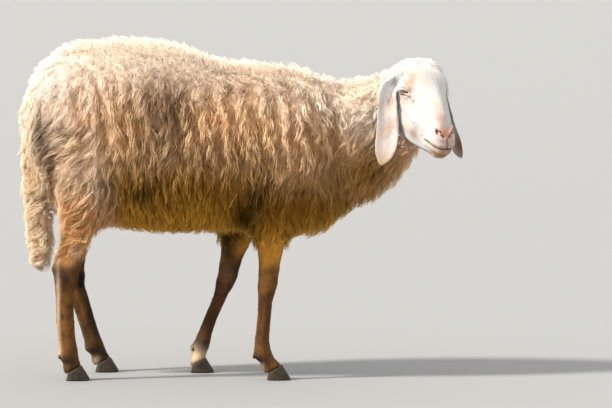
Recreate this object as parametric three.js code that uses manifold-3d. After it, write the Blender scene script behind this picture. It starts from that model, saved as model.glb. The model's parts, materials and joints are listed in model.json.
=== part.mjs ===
// A standing ewe of a lop-eared, Roman-nosed mountain breed, life size and in full fleece, with her
// head turned to her right and her woolly tail hanging to the hock. The solids reach out to the tips
// of the wool. Millimetres; +X towards the chest, +Y the ewe's left side, +Z up, soles on Z = 0.
import * as THREE from "three";
import { mergeVertices } from "three/addons/utils/BufferGeometryUtils.js";
import Module from "manifold-3d";

const wasm = await Module();
wasm.setup();

// ---------------------------------------------------------------- driving dimensions
const WITHERS = 778; // height of the back over the shoulders, wool and all
const RUMP = 852; // highest point of the back, over the loin
const BELLY = 350; // lowest point of the barrel
const BARREL = 212; // half the width of the barrel at its widest
const HOCK = 277; // height of the hock joint
const KNEE = 217; // height of the knee joint
const FETLOCK = 70; // height of the fetlock joints
const HIND_TRACK = 102; // how far each hind foot stands from the middle line
const FORE_TRACK = 90; // the same for the fore feet
const MUZZLE = 172; // from between the eyes to the end of the muzzle
const EYE = 13.5; // radius of an eyeball
const EAR = 218; // length of an ear
const GAP = 0.4; // joint left between two pieces that meet
const HEAD_AT = new THREE.Vector3(580.5, -108, 719); // the point midway between the eyes
const HEAD_TURN = 61; // degrees to her right of straight ahead
const HEAD_NOD = 34; // degrees down from level

const rad = THREE.MathUtils.degToRad;

// ---------------------------------------------------------------- making and cutting shapes
function closed(rings) {
  const sides = rings[0].length;
  const points = rings.flat();
  const first = points.length;
  const middle = (ring) =>
    ring.reduce((sum, p) => sum.add(p), new THREE.Vector3()).divideScalar(sides);
  points.push(middle(rings[0]), middle(rings[rings.length - 1]));
  const faces = [];
  for (let r = 0; r + 1 < rings.length; r++) {
    for (let k = 0; k < sides; k++) {
      const a = r * sides + k;
      const b = r * sides + ((k + 1) % sides);
      faces.push(a, b, b + sides, a, b + sides, a + sides);
    }
  }
  const last = (rings.length - 1) * sides;
  for (let k = 0; k < sides; k++) {
    const next = (k + 1) % sides;
    faces.push(first, next, k, first + 1, last + k, last + next);
  }
  return new THREE.BufferGeometry().setFromPoints(points).setIndex(faces);
}

function solid(geometry) {
  const bare = geometry.clone().deleteAttribute("normal").deleteAttribute("uv");
  const merged = mergeVertices(bare, 1e-3);
  const mesh = new wasm.Mesh({
    numProp: 3,
    vertProperties: new Float32Array(merged.attributes.position.array),
    triVerts: new Uint32Array(merged.index.array),
  });
  const made = new wasm.Manifold(mesh);
  if (made.volume() > 0) return made;
  const turned = mesh.triVerts.slice();
  for (let i = 0; i < turned.length; i += 3) {
    [turned[i + 1], turned[i + 2]] = [turned[i + 2], turned[i + 1]];
  }
  return new wasm.Manifold(
    new wasm.Mesh({ numProp: 3, vertProperties: mesh.vertProperties, triVerts: turned }),
  );
}

// The largest piece of a solid, so that a cut leaves no loose slivers.
function largest(made) {
  return made.decompose().reduce((a, b) => (b.volume() > a.volume() ? b : a));
}

function geometryOf(made) {
  const { numProp, numVert, vertProperties, triVerts } = largest(made).getMesh();
  const points = [];
  for (let i = 0; i < numVert; i++) {
    points.push(new THREE.Vector3().fromArray(vertProperties, i * numProp));
  }
  return new THREE.BufferGeometry().setFromPoints(points).setIndex([...triVerts]);
}

// Smooth values between stations. Each station starts with its place along the piece.
function between(stations) {
  const places = stations.map((s) => s[0]);
  const size = stations[0].length - 1;
  const values = stations.flatMap((s) => s.slice(1));
  const curve = new THREE.CubicInterpolant(places, values, size);
  return (at) => [...curve.evaluate(at)];
}

function spaced(from, to, steps) {
  return Array.from({ length: steps + 1 }, (_, i) => from + ((to - from) * i) / steps);
}

// One ring of an egg-shaped section: half is half its width, and it reaches above and below its
// widest level. A square under 1 fills out its corners.
function ring(centre, across, upward, { half, above, below, square = 1 }, sides) {
  return spaced(0, 360, sides)
    .slice(0, sides)
    .map((degrees) => {
      const c = Math.cos(rad(degrees));
      const s = Math.sin(rad(degrees));
      const out = half * Math.sign(c) * Math.abs(c) ** square;
      const rise = (s > 0 ? above : below) * Math.sign(s) * Math.abs(s) ** square;
      return centre.clone().addScaledVector(across, out).addScaledVector(upward, rise);
    });
}

function ellipsoid([x, y, z], [a, b, c], [turn, nod, roll] = [0, 0, 0], detail = 16) {
  const order = new THREE.Euler(rad(roll), rad(nod), rad(turn), "ZYX");
  return new THREE.SphereGeometry(1, detail, detail / 2)
    .scale(a, b, c)
    .applyMatrix4(new THREE.Matrix4().makeRotationFromEuler(order))
    .translate(x, y, z);
}

// ---------------------------------------------------------------- trunk
const X = new THREE.Vector3(1, 0, 0);
const Y = new THREE.Vector3(0, 1, 0);
const Z = new THREE.Vector3(0, 0, 1);

// Place along the body, back, underline, half width, level of the widest part.
const TRUNK = [
  [-424, 684, 610, 30, 648],
  [-414, 722, 545, 74, 640],
  [-400, 750, 500, 100, 632],
  [-376, 786, 456, 130, 620],
  [-340, 824, 420, 158, 606],
  [-292, RUMP - 8, 394, 181, 596],
  [-225, RUMP - 2, 372, 197, 588],
  [-125, RUMP, BELLY + 8, 208, 582],
  [-25, RUMP - 12, BELLY, BARREL, 574],
  [75, WITHERS + 23, BELLY + 6, 208, 566],
  [175, WITHERS + 17, BELLY + 4, 194, 560],
  [250, WITHERS + 9, BELLY - 6, 180, 556],
  [310, WITHERS - 3, BELLY - 10, 164, 552],
  [352, WITHERS - 22, BELLY + 4, 138, 548],
  [384, WITHERS - 70, BELLY + 38, 100, 540],
  [402, WITHERS - 160, BELLY + 92, 56, 528],
];
const TRUNK_SIDES = 22;

function trunk(grow = 0) {
  const at = between(TRUNK);
  const from = TRUNK[0][0];
  const to = TRUNK[TRUNK.length - 1][0];
  const ends = [from, from + 5, from + 14, from + 28, to - 28, to - 14, to - 5, to];
  const places = [...ends, ...spaced(from + 50, to - 50, 13)].sort((a, b) => a - b);
  const rings = places.map((x) => {
    const [back, under, half, level] = at(x);
    const centre = new THREE.Vector3(x + (grow * (x - (from + to) / 2)) / 400, 0, level);
    const shape = {
      half: half + grow,
      above: back - level + grow,
      below: level - under + grow,
      square: 0.9,
    };
    return ring(centre, Y, Z, shape, TRUNK_SIDES);
  });
  return closed(rings);
}

// ---------------------------------------------------------------- neck
// Upright slices from the shoulders to the throat, each turned a little more to her right:
// place, side step, top, bottom, half width, degrees of turn.
const NECK = [
  [300, 0, 748, 430, 126, 0],
  [396, 0, 750, 402, 121, 2],
  [425, -1, 755, 411, 112, 6],
  [450, -4, 765, 424, 103, 11],
  [475, -9, 772, 440, 92, 17],
  [500, -17, 777, 461, 80, 24],
  [525, -28, 778, 489, 69, 31],
  [548, -42, 766, 519, 57, 38],
  [568, -57, 738, 548, 43, 44],
  [582, -70, 700, 576, 26, 48],
];
const NECK_SIDES = 20;

function neck(grow = 0) {
  const at = between(NECK);
  const from = NECK[0][0];
  const to = NECK[NECK.length - 1][0];
  const rings = [from, ...spaced(392, to, 9)].map((x) => {
    const [aside, top, bottom, half, turn] = at(x);
    const across = new THREE.Vector3(Math.sin(rad(turn)), Math.cos(rad(turn)), 0);
    const level = (top + bottom) / 2;
    const rise = (top - bottom) / 2 + grow;
    const shape = { half: half + grow, above: rise, below: rise, square: 0.94 };
    return ring(new THREE.Vector3(x, aside, level), across, Z, shape, NECK_SIDES);
  });
  return closed(rings);
}

// ---------------------------------------------------------------- tail
// Points on the tail's middle line, then half its width and half its depth there.
const TAIL = [
  { at: [-335, 0, 762], half: 34, deep: 34 },
  { at: [-366, 0, 728], half: 40, deep: 38 },
  { at: [-388, 0, 680], half: 45, deep: 36 },
  { at: [-397, 0, 612], half: 49, deep: 34 },
  { at: [-393, 0, 520], half: 50, deep: 33 },
  { at: [-385, 0, 440], half: 50, deep: 39 },
  { at: [-375, 0, 365], half: 48, deep: 41 },
  { at: [-372, 0, 310], half: 43, deep: 38 },
  { at: [-374, 0, 275], half: 32, deep: 29 },
  { at: [-376, 0, 252], half: 14, deep: 13 },
];

function tube(stations, steps, sides, grow = 0) {
  const line = new THREE.CatmullRomCurve3(
    stations.map((s) => new THREE.Vector3(...s.at)),
    false,
    "centripetal",
  );
  const size = between(stations.map((s, i) => [i, s.half, s.deep]));
  const rings = spaced(0, 1, steps).map((t) => {
    const centre = line.getPoint(t);
    const along = line.getTangent(t);
    const [half, deep] = size(t * (stations.length - 1));
    const upward = new THREE.Vector3().crossVectors(along, Y).normalize();
    const shape = { half: half + grow, above: deep + grow, below: deep + grow };
    return ring(centre, Y, upward, shape, sides);
  });
  return closed(rings);
}

const tail = (grow = 0) => tube(TAIL, 12, 12, grow);

// ---------------------------------------------------------------- head, in its own frame
// The head's frame has its origin midway between the eyes, +X towards the muzzle, +Y her left.
// Each slice gives: place along the head, brow, shoulder of the brow [out, up], temple or cheek
// [out, up], jaw [out, up] and chin line.
const HEAD = [
  [-98, -10, 12, -12, 18, -28, 12, -44, -46],
  [-91, 14, 26, 6, 44, -18, 28, -62, -68],
  [-78, 36, 36, 27, 58, -4, 42, -74, -84],
  [-60, 49, 42, 40, 62, 2, 48, -80, -92],
  [-40, 54, 44, 45, 62, 8, 50, -84, -97],
  [-20, 55, 44, 45, 61, 10, 50, -87, -100],
  [0, 53, 41, 42, 58, 8, 51, -90, -103],
  [20, 50, 36, 37, 52, 2, 51, -92, -105],
  [40, 45, 30, 31, 44, -2, 50, -94, -107],
  [60, 39, 26, 25, 39, -4, 47, -96, -108],
  [80, 32, 22, 18, 35, -8, 41, -96, -107],
  [100, 22, 20, 10, 31, -12, 34, -92, -104],
  [120, 8, 18, -1, 28, -18, 29, -86, -101],
  [135, -8, 17, -10, 26.5, -25, 26, -80, -98],
  [MUZZLE - 24, -19, 16, -21, 26, -34, 24, -74, -95],
  [MUZZLE - 13, -28, 14, -31, 23, -43, 20, -70, -89],
  [MUZZLE - 5, -40, 11, -41, 18, -50, 14, -66, -80],
  [MUZZLE, -49, 6, -50, 9, -56, 6, -62, -66],
];

function skull(grow = 0) {
  const at = between(HEAD);
  const from = HEAD[0][0];
  const to = MUZZLE;
  const places = [from, from + 3, ...spaced(from + 9, to - 6, 15), to - 2, to];
  const rings = places.map((x) => {
    const [brow, ...rest] = at(x);
    const [browOut, browUp, out, up, jawOut, jawUp, chin] = rest;
    const side = [[browOut, browUp], [out, up], [jawOut, jawUp]];
    const outline = [[0, brow], ...side, [0, chin], ...side.toReversed().map(([y, z]) => [-y, z])];
    const middle = (brow + chin) / 2;
    const stretched = x * (1 + grow / ((to - from) / 2));
    const points = outline.map(([y, z]) => {
      const share = 1 + grow / Math.hypot(y, z - middle);
      return new THREE.Vector3(stretched, y * share, middle + (z - middle) * share);
    });
    return new THREE.CatmullRomCurve3(points, true, "centripetal").getPoints(24).slice(0, 24);
  });
  return closed(rings);
}

const EYE_AT = [-3, 51, -1]; // centre of the left eyeball
const ORBIT_SIZE = [30, 15, 22];
const FISSURE_SIZE = [14, 10, 4.8]; // the opening between the lids

function mirrored([x, y, z], side) {
  return [x, y * side, z];
}

function eyeball(side, grow = 0) {
  const size = EYE + grow;
  return ellipsoid(mirrored(EYE_AT, side), [size, size, size], [0, 0, 0], 14);
}

function headSolid(grow = 0) {
  let made = solid(skull(grow));
  for (const side of [-1, 1]) {
    const [x, y, z] = EYE_AT;
    const size = ORBIT_SIZE.map((r) => r + grow);
    const turned = [-side * 14, 14, 0];
    made = made.add(solid(ellipsoid([x, side * (y - 0.5), z + 3], size, turned, 14)));
  }
  return made;
}

function head() {
  const mouth = new THREE.BoxGeometry(56, 90, 1.8)
    .rotateY(rad(-10))
    .translate(MUZZLE - 28, 0, -57);
  let made = headSolid().subtract(solid(mouth).subtract(solid(skull(-5))));
  for (const side of [-1, 1]) {
    const [x, y, z] = mirrored(EYE_AT, side);
    const opening = ellipsoid(
      [x + 1, y + side * (EYE - 0.5), z],
      FISSURE_SIZE,
      [-side * 24, -HEAD_NOD, 0],
      12,
    );
    const nostril = ellipsoid([MUZZLE - 27, side * 16, -22], [12, 4, 3.4], [-side * 38, 22, 0], 8);
    made = made.subtract(solid(eyeball(side, GAP))).subtract(solid(opening)).subtract(solid(nostril));
  }
  return made;
}

// ---------------------------------------------------------------- ears, in the head's frame
// Share of the ear's length, half its width, and how far it is rolled at that place.
const EAR_BLADE = [
  [0, 13, 1.15],
  [0.12, 19, 1.0],
  [0.28, 25, 0.66],
  [0.5, 29.5, 0.48],
  [0.68, 32, 0.36],
  [0.82, 30, 0.3],
  [0.91, 22, 0.24],
  [0.97, 12, 0.16],
  [1, 4, 0.1],
];
const EAR_THICK = 4.6;
const EAR_ROOT = [-46, 56, 4]; // where the left ear leaves the head

// How each ear hangs: its share of EAR, then [share of the way down, how far out it stands there].
const EARS = [
  { word: "left", side: 1, long: 0.945, hang: [[0, 0], [0.1, 2], [0.3, 13], [0.6, 32], [0.8, 50], [1, 77]] },
  { word: "right", side: -1, long: 1, hang: [[0, 0], [0.1, 18], [0.3, 23], [0.6, 23], [0.8, 30], [1, 44]] },
];

// An ear is a leaf that leaves the head sideways, turns down at once and is rolled at its root.
function ear(line, facing, grow = 0) {
  const curve = new THREE.CatmullRomCurve3(line, false, "centripetal");
  const size = between(EAR_BLADE);
  const rings = [...spaced(0, 0.88, 9), 0.94, 0.98, 1].map((t) => {
    const centre = curve.getPoint(t);
    const along = curve.getTangent(t);
    const across = new THREE.Vector3().crossVectors(facing, along).normalize();
    const out = new THREE.Vector3().crossVectors(along, across).normalize();
    const [half, roll] = size(t);
    const thick = EAR_THICK * (1.25 - 0.55 * t) + 2 * grow;
    return spaced(0, 360, 10)
      .slice(0, 10)
      .map((degrees) => {
        const s = Math.cos(rad(degrees));
        const angle = s * (0.25 + roll);
        const reach = (half + grow) * (1 - 0.12 * roll);
        const lift = Math.sin(rad(degrees)) * thick * 0.5;
        const bend = (half * (1 - Math.cos(angle * 1.5))) / 1.2;
        return centre
          .clone()
          .addScaledVector(across, reach * Math.sin(angle * 1.25) / Math.sin((0.25 + roll) * 1.25))
          .addScaledVector(out, lift + bend);
      });
  });
  return closed(rings);
}

// ---------------------------------------------------------------- legs
// Landmarks down each leg: the middle of the limb at each named level, at [x, z].
// A leg's landmarks are counted 0, 1, 2 and so on, and its thickness is given on the same count:
// place, half its depth fore and aft, half its width.
const HIND_THICK = [
  [0, 84, 52],
  [1, 72, 58],
  [1.5, 52, 40],
  [2, 45, 32],
  [3, 37, 25],
  [3.4, 27, 21],
  [4, 20.5, 18],
  [4.6, 22, 18],
  [5, 25, 22],
  [5.5, 23, 21.5],
  [6, 21, 24],
];
const FORE_THICK = [
  [0, 62, 44],
  [1, 46, 36],
  [1.5, 37, 30],
  [2, 30, 26],
  [3, 22, 21],
  [3.5, 17, 17],
  [4, 15.5, 15],
  [4.6, 17.5, 17],
  [5, 22.5, 21],
  [5.5, 22, 21],
  [6, 21, 24],
];
const CORONET = 27; // degrees the lower end of a pastern rises from heel to toe
const LEGS = [
  {
    name: "hind_leg_right",
    side: -1,
    thick: HIND_THICK,
    joints: ["thigh", "cannon", "pastern"],
    upper: HOCK,
    line: [
      [-285, 600],
      [-262, 440],
      [-284, 330],
      [-304, HOCK],
      [-308, 170],
      [-300, FETLOCK],
      [-288, 26],
    ],
    toe: -245,
  },
  {
    name: "hind_leg_left",
    side: 1,
    thick: HIND_THICK,
    joints: ["thigh", "cannon", "pastern"],
    upper: HOCK - 4,
    line: [
      [-285, 600],
      [-262, 440],
      [-286, 330],
      [-304, HOCK - 4],
      [-273, 160],
      [-242, FETLOCK - 6],
      [-224, 26],
    ],
    toe: -181,
  },
  {
    name: "fore_leg_right",
    side: -1,
    thick: FORE_THICK,
    joints: ["forearm", "cannon", "pastern"],
    upper: KNEE,
    line: [
      [214, 500],
      [204, 365],
      [200, 295],
      [192, KNEE],
      [185, 147],
      [182, FETLOCK + 2],
      [209, 26],
    ],
    toe: 254,
  },
  {
    name: "fore_leg_left",
    side: 1,
    thick: FORE_THICK,
    joints: ["forearm", "cannon", "pastern"],
    upper: KNEE - 6,
    line: [
      [140, 500],
      [118, 350],
      [101, 284],
      [82, KNEE - 6],
      [52, 144],
      [27, FETLOCK + 4],
      [17, 26],
    ],
    toe: 60,
  },
];
const LEG_SIDES = 12;

function trackAt(leg, z) {
  const hind = leg.thick === HIND_THICK;
  const foot = hind ? HIND_TRACK : FORE_TRACK;
  const root = hind ? 112 : 104;
  return leg.side * (foot + (root - foot) * THREE.MathUtils.smoothstep(z, HOCK, 480));
}

function limb(leg, from, to, steps, grow = 0) {
  const middle = between(leg.line.map(([x, z], i) => [i, x, z]));
  const size = between(leg.thick);
  const rings = spaced(from, to, steps).map((t) => {
    const [x, z] = middle(t);
    const [depth, half] = size(t);
    const shape = { half: depth + grow, above: half + grow, below: half + grow, square: 0.95 };
    const slope = Math.tan(rad(CORONET)) * THREE.MathUtils.smoothstep(t, 5, 6);
    const points = ring(new THREE.Vector3(x, trackAt(leg, z), z), X, Y, shape, LEG_SIDES);
    return points.map((p) => p.setZ(p.z + (p.x - x) * slope));
  });
  return closed(rings);
}

// The count down the leg at which its middle line is at a height.
function countAt(leg, height) {
  const middle = between(leg.line.map(([x, z], i) => [i, x, z]));
  let [low, high] = [0, leg.line.length - 1];
  for (let i = 0; i < 40; i++) {
    const half = (low + high) / 2;
    if (middle(half)[1] > height) low = half;
    else high = half;
  }
  return (low + high) / 2;
}

// ---------------------------------------------------------------- feet
const HOOF = 62; // length of a sole
const HOOF_TALL = 38; // height of the wall at the toe
const HOOF_HEEL = 19; // height of the wall at the heel
const HOOF_SLOPE = 58; // degrees the toe wall makes with the floor
const HOOF_HALF = 12.5; // half the width of one claw

// One claw: a blunt wedge with a flat sole, pointed at the toe and flat towards its fellow.
function claw(toe, middle, side, grow = 0) {
  const run = HOOF_TALL / Math.tan(rad(HOOF_SLOPE));
  const rings = [0, 0.06, 0.5, 1].map((rise) => {
    const front = toe + grow - run * rise - (rise === 0 ? 1.5 : 0);
    const heel = toe - HOOF - grow + 5 * rise;
    const half = HOOF_HALF * (1 - 0.08 * rise - (rise === 0 ? 0.08 : 0)) + grow;
    return spaced(0, 360, 12)
      .slice(0, 12)
      .map((degrees) => {
        const c = Math.cos(rad(degrees));
        const s = Math.sin(rad(degrees));
        const point = 1 - 0.5 * Math.max(0, c) ** 2;
        const inward = side * s < 0 ? 0.8 : 1;
        const across = middle + half * s * point * inward;
        const wall = THREE.MathUtils.lerp(HOOF_HEEL, HOOF_TALL, (1 + c) / 2);
        const height = rise * wall + (rise > 0 ? grow : -grow);
        return new THREE.Vector3((front + heel) / 2 + ((front - heel) / 2) * c, across, height);
      });
  });
  return closed(rings);
}

// A dewclaw: a small horn cap behind the fetlock.
function dewclaw(x, y, z, grow = 0) {
  return ellipsoid([x, y, z], [7 + grow, 5.5 + grow, 9 + grow], [0, 25, 0], 6);
}

// ---------------------------------------------------------------- assembly
const COLOURS = {
  fleece: [0xc9ad86, 0.95],
  face: [0xf1e9e0, 0.8],
  ear: [0xeadfd4, 0.8],
  leg: [0x9c7650, 0.85],
  horn: [0x4a3a2c, 0.5],
  eye: [0x3a2a18, 0.15],
};

function mesh(name, made, kind) {
  const [color, roughness] = COLOURS[kind];
  const geometry = made.isBufferGeometry ? made : geometryOf(made);
  const material = new THREE.MeshStandardMaterial({ color, roughness, metalness: 0 });
  const piece = new THREE.Mesh(geometry, material);
  piece.name = name;
  return piece;
}

const ewe = new THREE.Group();
const body = new THREE.Group();
ewe.add(body);

const headGroup = new THREE.Group();
headGroup.position.copy(HEAD_AT);
headGroup.rotation.order = "ZYX";
headGroup.rotation.set(0, rad(HEAD_NOD), rad(-HEAD_TURN));
headGroup.updateMatrix();
body.add(headGroup);

const placed = (geometry) => geometry.clone().applyMatrix4(headGroup.matrix);
const unplaced = (geometry) => geometry.clone().applyMatrix4(headGroup.matrix.clone().invert());

const trunkGrown = solid(trunk(GAP));
const headGrown = solid(placed(geometryOf(headSolid(GAP))));

body.add(mesh("trunk", solid(trunk()), "fleece"));
body.add(mesh("neck", solid(neck()).subtract(trunkGrown).subtract(headGrown), "fleece"));
body.add(mesh("tail", solid(tail()).subtract(trunkGrown), "fleece"));

headGroup.add(mesh("head", head(), "face"));
const neckInHead = solid(unplaced(neck(GAP)));
const headGrownHere = headSolid(GAP);
const down = new THREE.Vector3(0, 0, -1).transformDirection(headGroup.matrix.clone().invert());
for (const { word, side, long, hang } of EARS) {
  headGroup.add(mesh(`eye_${word}`, eyeball(side), "eye"));
  const line = hang.map(([share, out]) =>
    new THREE.Vector3(...mirrored(EAR_ROOT, side))
      .addScaledVector(Y, side * out)
      .addScaledVector(down, EAR * long * share - 6 * Math.min(1, share * 10)),
  );
  const facing = new THREE.Vector3(0.75, side * 0.65, 0).normalize();
  const made = solid(ear(line, facing)).subtract(headGrownHere).subtract(neckInHead);
  headGroup.add(mesh(`ear_${word}`, made, "ear"));
}

for (const leg of LEGS) {
  const [upper, cannon, pastern] = leg.joints;
  const joint = countAt(leg, leg.upper);
  const fetlock = countAt(leg, FETLOCK + 8);
  const slit = 0.004; // in the leg's count, about 0.4 mm
  const foot = leg.line.length - 1;
  const thigh = solid(limb(leg, 0, joint - slit, 10)).subtract(trunkGrown).subtract(solid(tail(GAP)));
  body.add(mesh(`${leg.name}_${upper}`, thigh, "leg"));
  body.add(mesh(`${leg.name}_${cannon}`, solid(limb(leg, joint + slit, fetlock - slit, 6)), "leg"));
  let foothold = solid(limb(leg, fetlock + slit, foot, 4));
  const middle = trackAt(leg, 0);
  const [back] = leg.line[foot - 1];
  for (const [word, side] of [["outer", leg.side], ["inner", -leg.side]]) {
    const across = middle + side * (HOOF_HALF + 1.2);
    foothold = foothold.subtract(solid(claw(leg.toe, across, side, GAP)));
    body.add(mesh(`${leg.name}_claw_${word}`, claw(leg.toe, across, side), "horn"));
    const cap = [back - 21, middle + side * 12, FETLOCK - 10];
    foothold = foothold.subtract(solid(dewclaw(...cap, GAP)));
    body.add(mesh(`${leg.name}_dewclaw_${word}`, dewclaw(...cap), "horn"));
  }
  body.add(mesh(`${leg.name}_${pastern}`, foothold, "leg"));
}

ewe.updateMatrixWorld(true);
const box = new THREE.Box3().setFromObject(ewe, true);
const centre = box.getCenter(new THREE.Vector3());
body.position.set(-centre.x, -centre.y, -box.min.z);

export default ewe;
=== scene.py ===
# %% [markdown]
# # A sheep in full fleece
# This lesson dresses a plain set of solids as a live ewe that stands and looks round. The solids give
# the place and the outer size of everything. We put one smooth skin under them, grow wool over it as
# real mesh, and give the bare parts their folds, hairs, eyes and horn. Lengths are in metres.

import json
import math

import bmesh
import bpy
import numpy as np
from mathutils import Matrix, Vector, kdtree, noise
from mathutils.bvhtree import BVHTree

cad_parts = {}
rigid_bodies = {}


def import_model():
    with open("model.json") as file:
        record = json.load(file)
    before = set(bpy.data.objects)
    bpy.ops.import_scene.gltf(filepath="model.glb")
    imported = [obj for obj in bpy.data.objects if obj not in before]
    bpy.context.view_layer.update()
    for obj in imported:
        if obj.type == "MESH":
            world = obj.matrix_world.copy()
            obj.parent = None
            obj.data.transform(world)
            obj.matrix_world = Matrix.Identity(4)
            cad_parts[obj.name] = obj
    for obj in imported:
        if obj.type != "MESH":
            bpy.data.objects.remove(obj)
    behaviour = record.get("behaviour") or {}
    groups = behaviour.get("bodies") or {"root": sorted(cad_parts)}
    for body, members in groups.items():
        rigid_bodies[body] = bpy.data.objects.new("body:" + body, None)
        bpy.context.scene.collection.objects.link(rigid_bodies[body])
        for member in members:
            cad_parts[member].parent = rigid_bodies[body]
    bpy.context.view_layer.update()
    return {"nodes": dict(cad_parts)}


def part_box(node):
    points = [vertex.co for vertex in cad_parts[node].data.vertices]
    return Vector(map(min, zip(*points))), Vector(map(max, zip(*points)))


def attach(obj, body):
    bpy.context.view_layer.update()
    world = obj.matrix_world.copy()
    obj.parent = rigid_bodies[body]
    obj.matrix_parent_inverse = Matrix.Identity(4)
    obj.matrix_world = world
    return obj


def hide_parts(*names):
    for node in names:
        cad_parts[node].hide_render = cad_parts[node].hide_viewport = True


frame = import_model()
MM = 0.001
RNG = np.random.default_rng(7)

# %% [markdown]
# ## Camera, light and floor
# The sheep is seen from a long way off through a long lens, so its near and far legs look alike in
# size. We place the camera by a distance, a low elevation and the width of ground it takes in, and aim
# it at a point that we read from the trunk's box. One warm, slightly soft sun stands high on the tail's
# side and lights the back and the rump. A pale sky on every side keeps the shade soft, so no second
# lamp is needed.

# %% Camera
CAMERA_FAR, CAMERA_UP = 12.0, math.radians(4.0)
FRAME_WIDE, SENSOR, SEEN_TO = 1.53, 36.0, 100.0
AIM_BEHIND_CHEST, AIM_HIGH = 0.112, 0.432
trunk_low, trunk_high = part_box("trunk")
AIM = Vector((trunk_high.x - AIM_BEHIND_CHEST, (trunk_low.y + trunk_high.y) / 2, AIM_HIGH))

camera = bpy.data.objects.new("camera", bpy.data.cameras.new("camera"))
camera.data.lens = SENSOR * CAMERA_FAR / FRAME_WIDE
camera.data.sensor_width = SENSOR
camera.data.clip_end = SEEN_TO
camera.location = AIM + CAMERA_FAR * Vector((0, -math.cos(CAMERA_UP), math.sin(CAMERA_UP)))
camera.rotation_euler = (math.pi / 2 - CAMERA_UP, 0, 0)
bpy.context.scene.collection.objects.link(camera)
bpy.context.scene.camera = camera
print("lens:", round(camera.data.lens, 1), "mm")


# %% Light
SUN_FROM, SUN_SOFT = Vector((-0.74, -0.24, 0.64)), math.radians(7)
SUN_POWER, SUN_TINT = 6.7, (1.0, 0.925, 0.82)
SKY_POWER, SKY_TINT = 1.32, (0.95, 0.92, 0.87, 1)
sun_data = bpy.data.lights.new("key", "SUN")
sun_data.energy, sun_data.angle, sun_data.color = SUN_POWER, SUN_SOFT, SUN_TINT
sun = bpy.data.objects.new("key", sun_data)
sun.rotation_euler = SUN_FROM.to_track_quat("Z", "Y").to_euler()
bpy.context.scene.collection.objects.link(sun)

world = bpy.data.worlds.new("studio")
bpy.context.scene.world = world
world.use_nodes = True
sky = world.node_tree.nodes["Background"]
sky.inputs["Color"].default_value = SKY_TINT
sky.inputs["Strength"].default_value = SKY_POWER
bpy.context.scene.view_settings.view_transform = "Standard"
print("sun:", SUN_POWER, "sky:", SKY_POWER)


# %% [markdown]
# A material is a small graph of nodes. The helpers below keep the graphs short: one makes a material
# and hands back its shader, one adds a node and links what goes into it. On them stand the ones for a
# noise, a blend of two colours, a ramp of colours and a bump.

# %% Material helpers
def finish(name, rough, **sockets):
    made = bpy.data.materials.new(name)
    made.use_nodes = True
    shader = made.node_tree.nodes["Principled BSDF"]
    shader.inputs["Roughness"].default_value = rough
    for socket, value in sockets.items():
        shader.inputs[socket.replace("_", " ")].default_value = value
    return made, shader


def feed(made, socket, value):
    """Links a socket to another node's output, or sets it to a plain value."""
    if isinstance(value, bpy.types.NodeSocket):
        made.node_tree.links.new(value, socket)
    else:
        socket.default_value = value


def node(made, kind, **values):
    added = made.node_tree.nodes.new("ShaderNode" + kind)
    for key, value in values.items():
        if hasattr(added, key):
            setattr(added, key, value)
        else:
            feed(made, added.inputs[key.replace("_", " ")], value)
    return added


print("material helpers ready")


# %% Noise, blend, ramp and bump
# The sockets of a Mix node that is set to colours, by their place in its list.
MIX_FACTOR, MIX_FIRST, MIX_SECOND, MIX_RESULT = 0, 6, 7, 2
BLACK, FULL = (0.0, 0.0, 0.0), (1.0, 1.0, 1.0)


def grain(made, scale, detail=4.0, rough=0.6, vector=None):
    vector = vector or node(made, "TexCoord").outputs["Object"]
    return node(made, "TexNoise", Vector=vector, Scale=scale, Detail=detail, Roughness=rough).outputs["Fac"]


def blend(made, factor, first, second, mode="MIX"):
    mix = node(made, "Mix", data_type="RGBA", blend_type=mode)
    for socket, value in ((MIX_FACTOR, factor), (MIX_FIRST, first), (MIX_SECOND, second)):
        feed(made, mix.inputs[socket], value)
    return mix.outputs[MIX_RESULT]


def ramp(made, factor, *stops):
    made_ramp = node(made, "ValToRGB", Fac=factor)
    marks = made_ramp.color_ramp.elements
    while len(marks) < len(stops):
        marks.new(0.5)
    for mark, (place, colour) in zip(marks, stops):
        mark.position = place
        mark.color = (*colour, 1)
    return made_ramp.outputs["Color"]


def bump(made, shader, height, strength, depth):
    lifted = node(made, "Bump", Strength=strength, Distance=depth, Height=height)
    feed(made, shader.inputs["Normal"], lifted.outputs["Normal"])


print("noise, blend, ramp and bump ready")

# %% [markdown]
# The ground is a plain sheet of dull grey paper, far wider than the view, so that no edge of it shows.
# It only takes the sheep's shadow, and rides on none of the sheep's bodies.

# %% Floor
FLOOR_HALF = 70.0
floor_mesh = bpy.data.meshes.new("floor")
bm = bmesh.new()
bmesh.ops.create_grid(bm, x_segments=1, y_segments=1, size=FLOOR_HALF)
bm.to_mesh(floor_mesh)
bm.free()
floor = bpy.data.objects.new("floor", floor_mesh)
bpy.context.scene.collection.objects.link(floor)
paper, paper_shader = finish("floor_paper", 0.9)
tone = ramp(paper, grain(paper, 420.0, 2.0), (0.3, (0.226, 0.233, 0.246)), (0.7, (0.240, 0.248, 0.261)))
feed(paper, paper_shader.inputs["Base Color"], tone)
floor_mesh.materials.append(paper)
print("floor:", 2 * FLOOR_HALF, "m wide")

# %% [markdown]
# ## Mesh helpers
# The skin starts from merged copies of the solids. A voxel remesh fuses several overlapping solids into
# one surface of even small squares, which is what sculpting in code needs: any point can then be moved
# by a rule. Moving and smoothing are done on arrays of points, because a few hundred thousand of them
# are slow to visit one at a time.

# %% Copies of the solids
WELD = 1e-5


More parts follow.
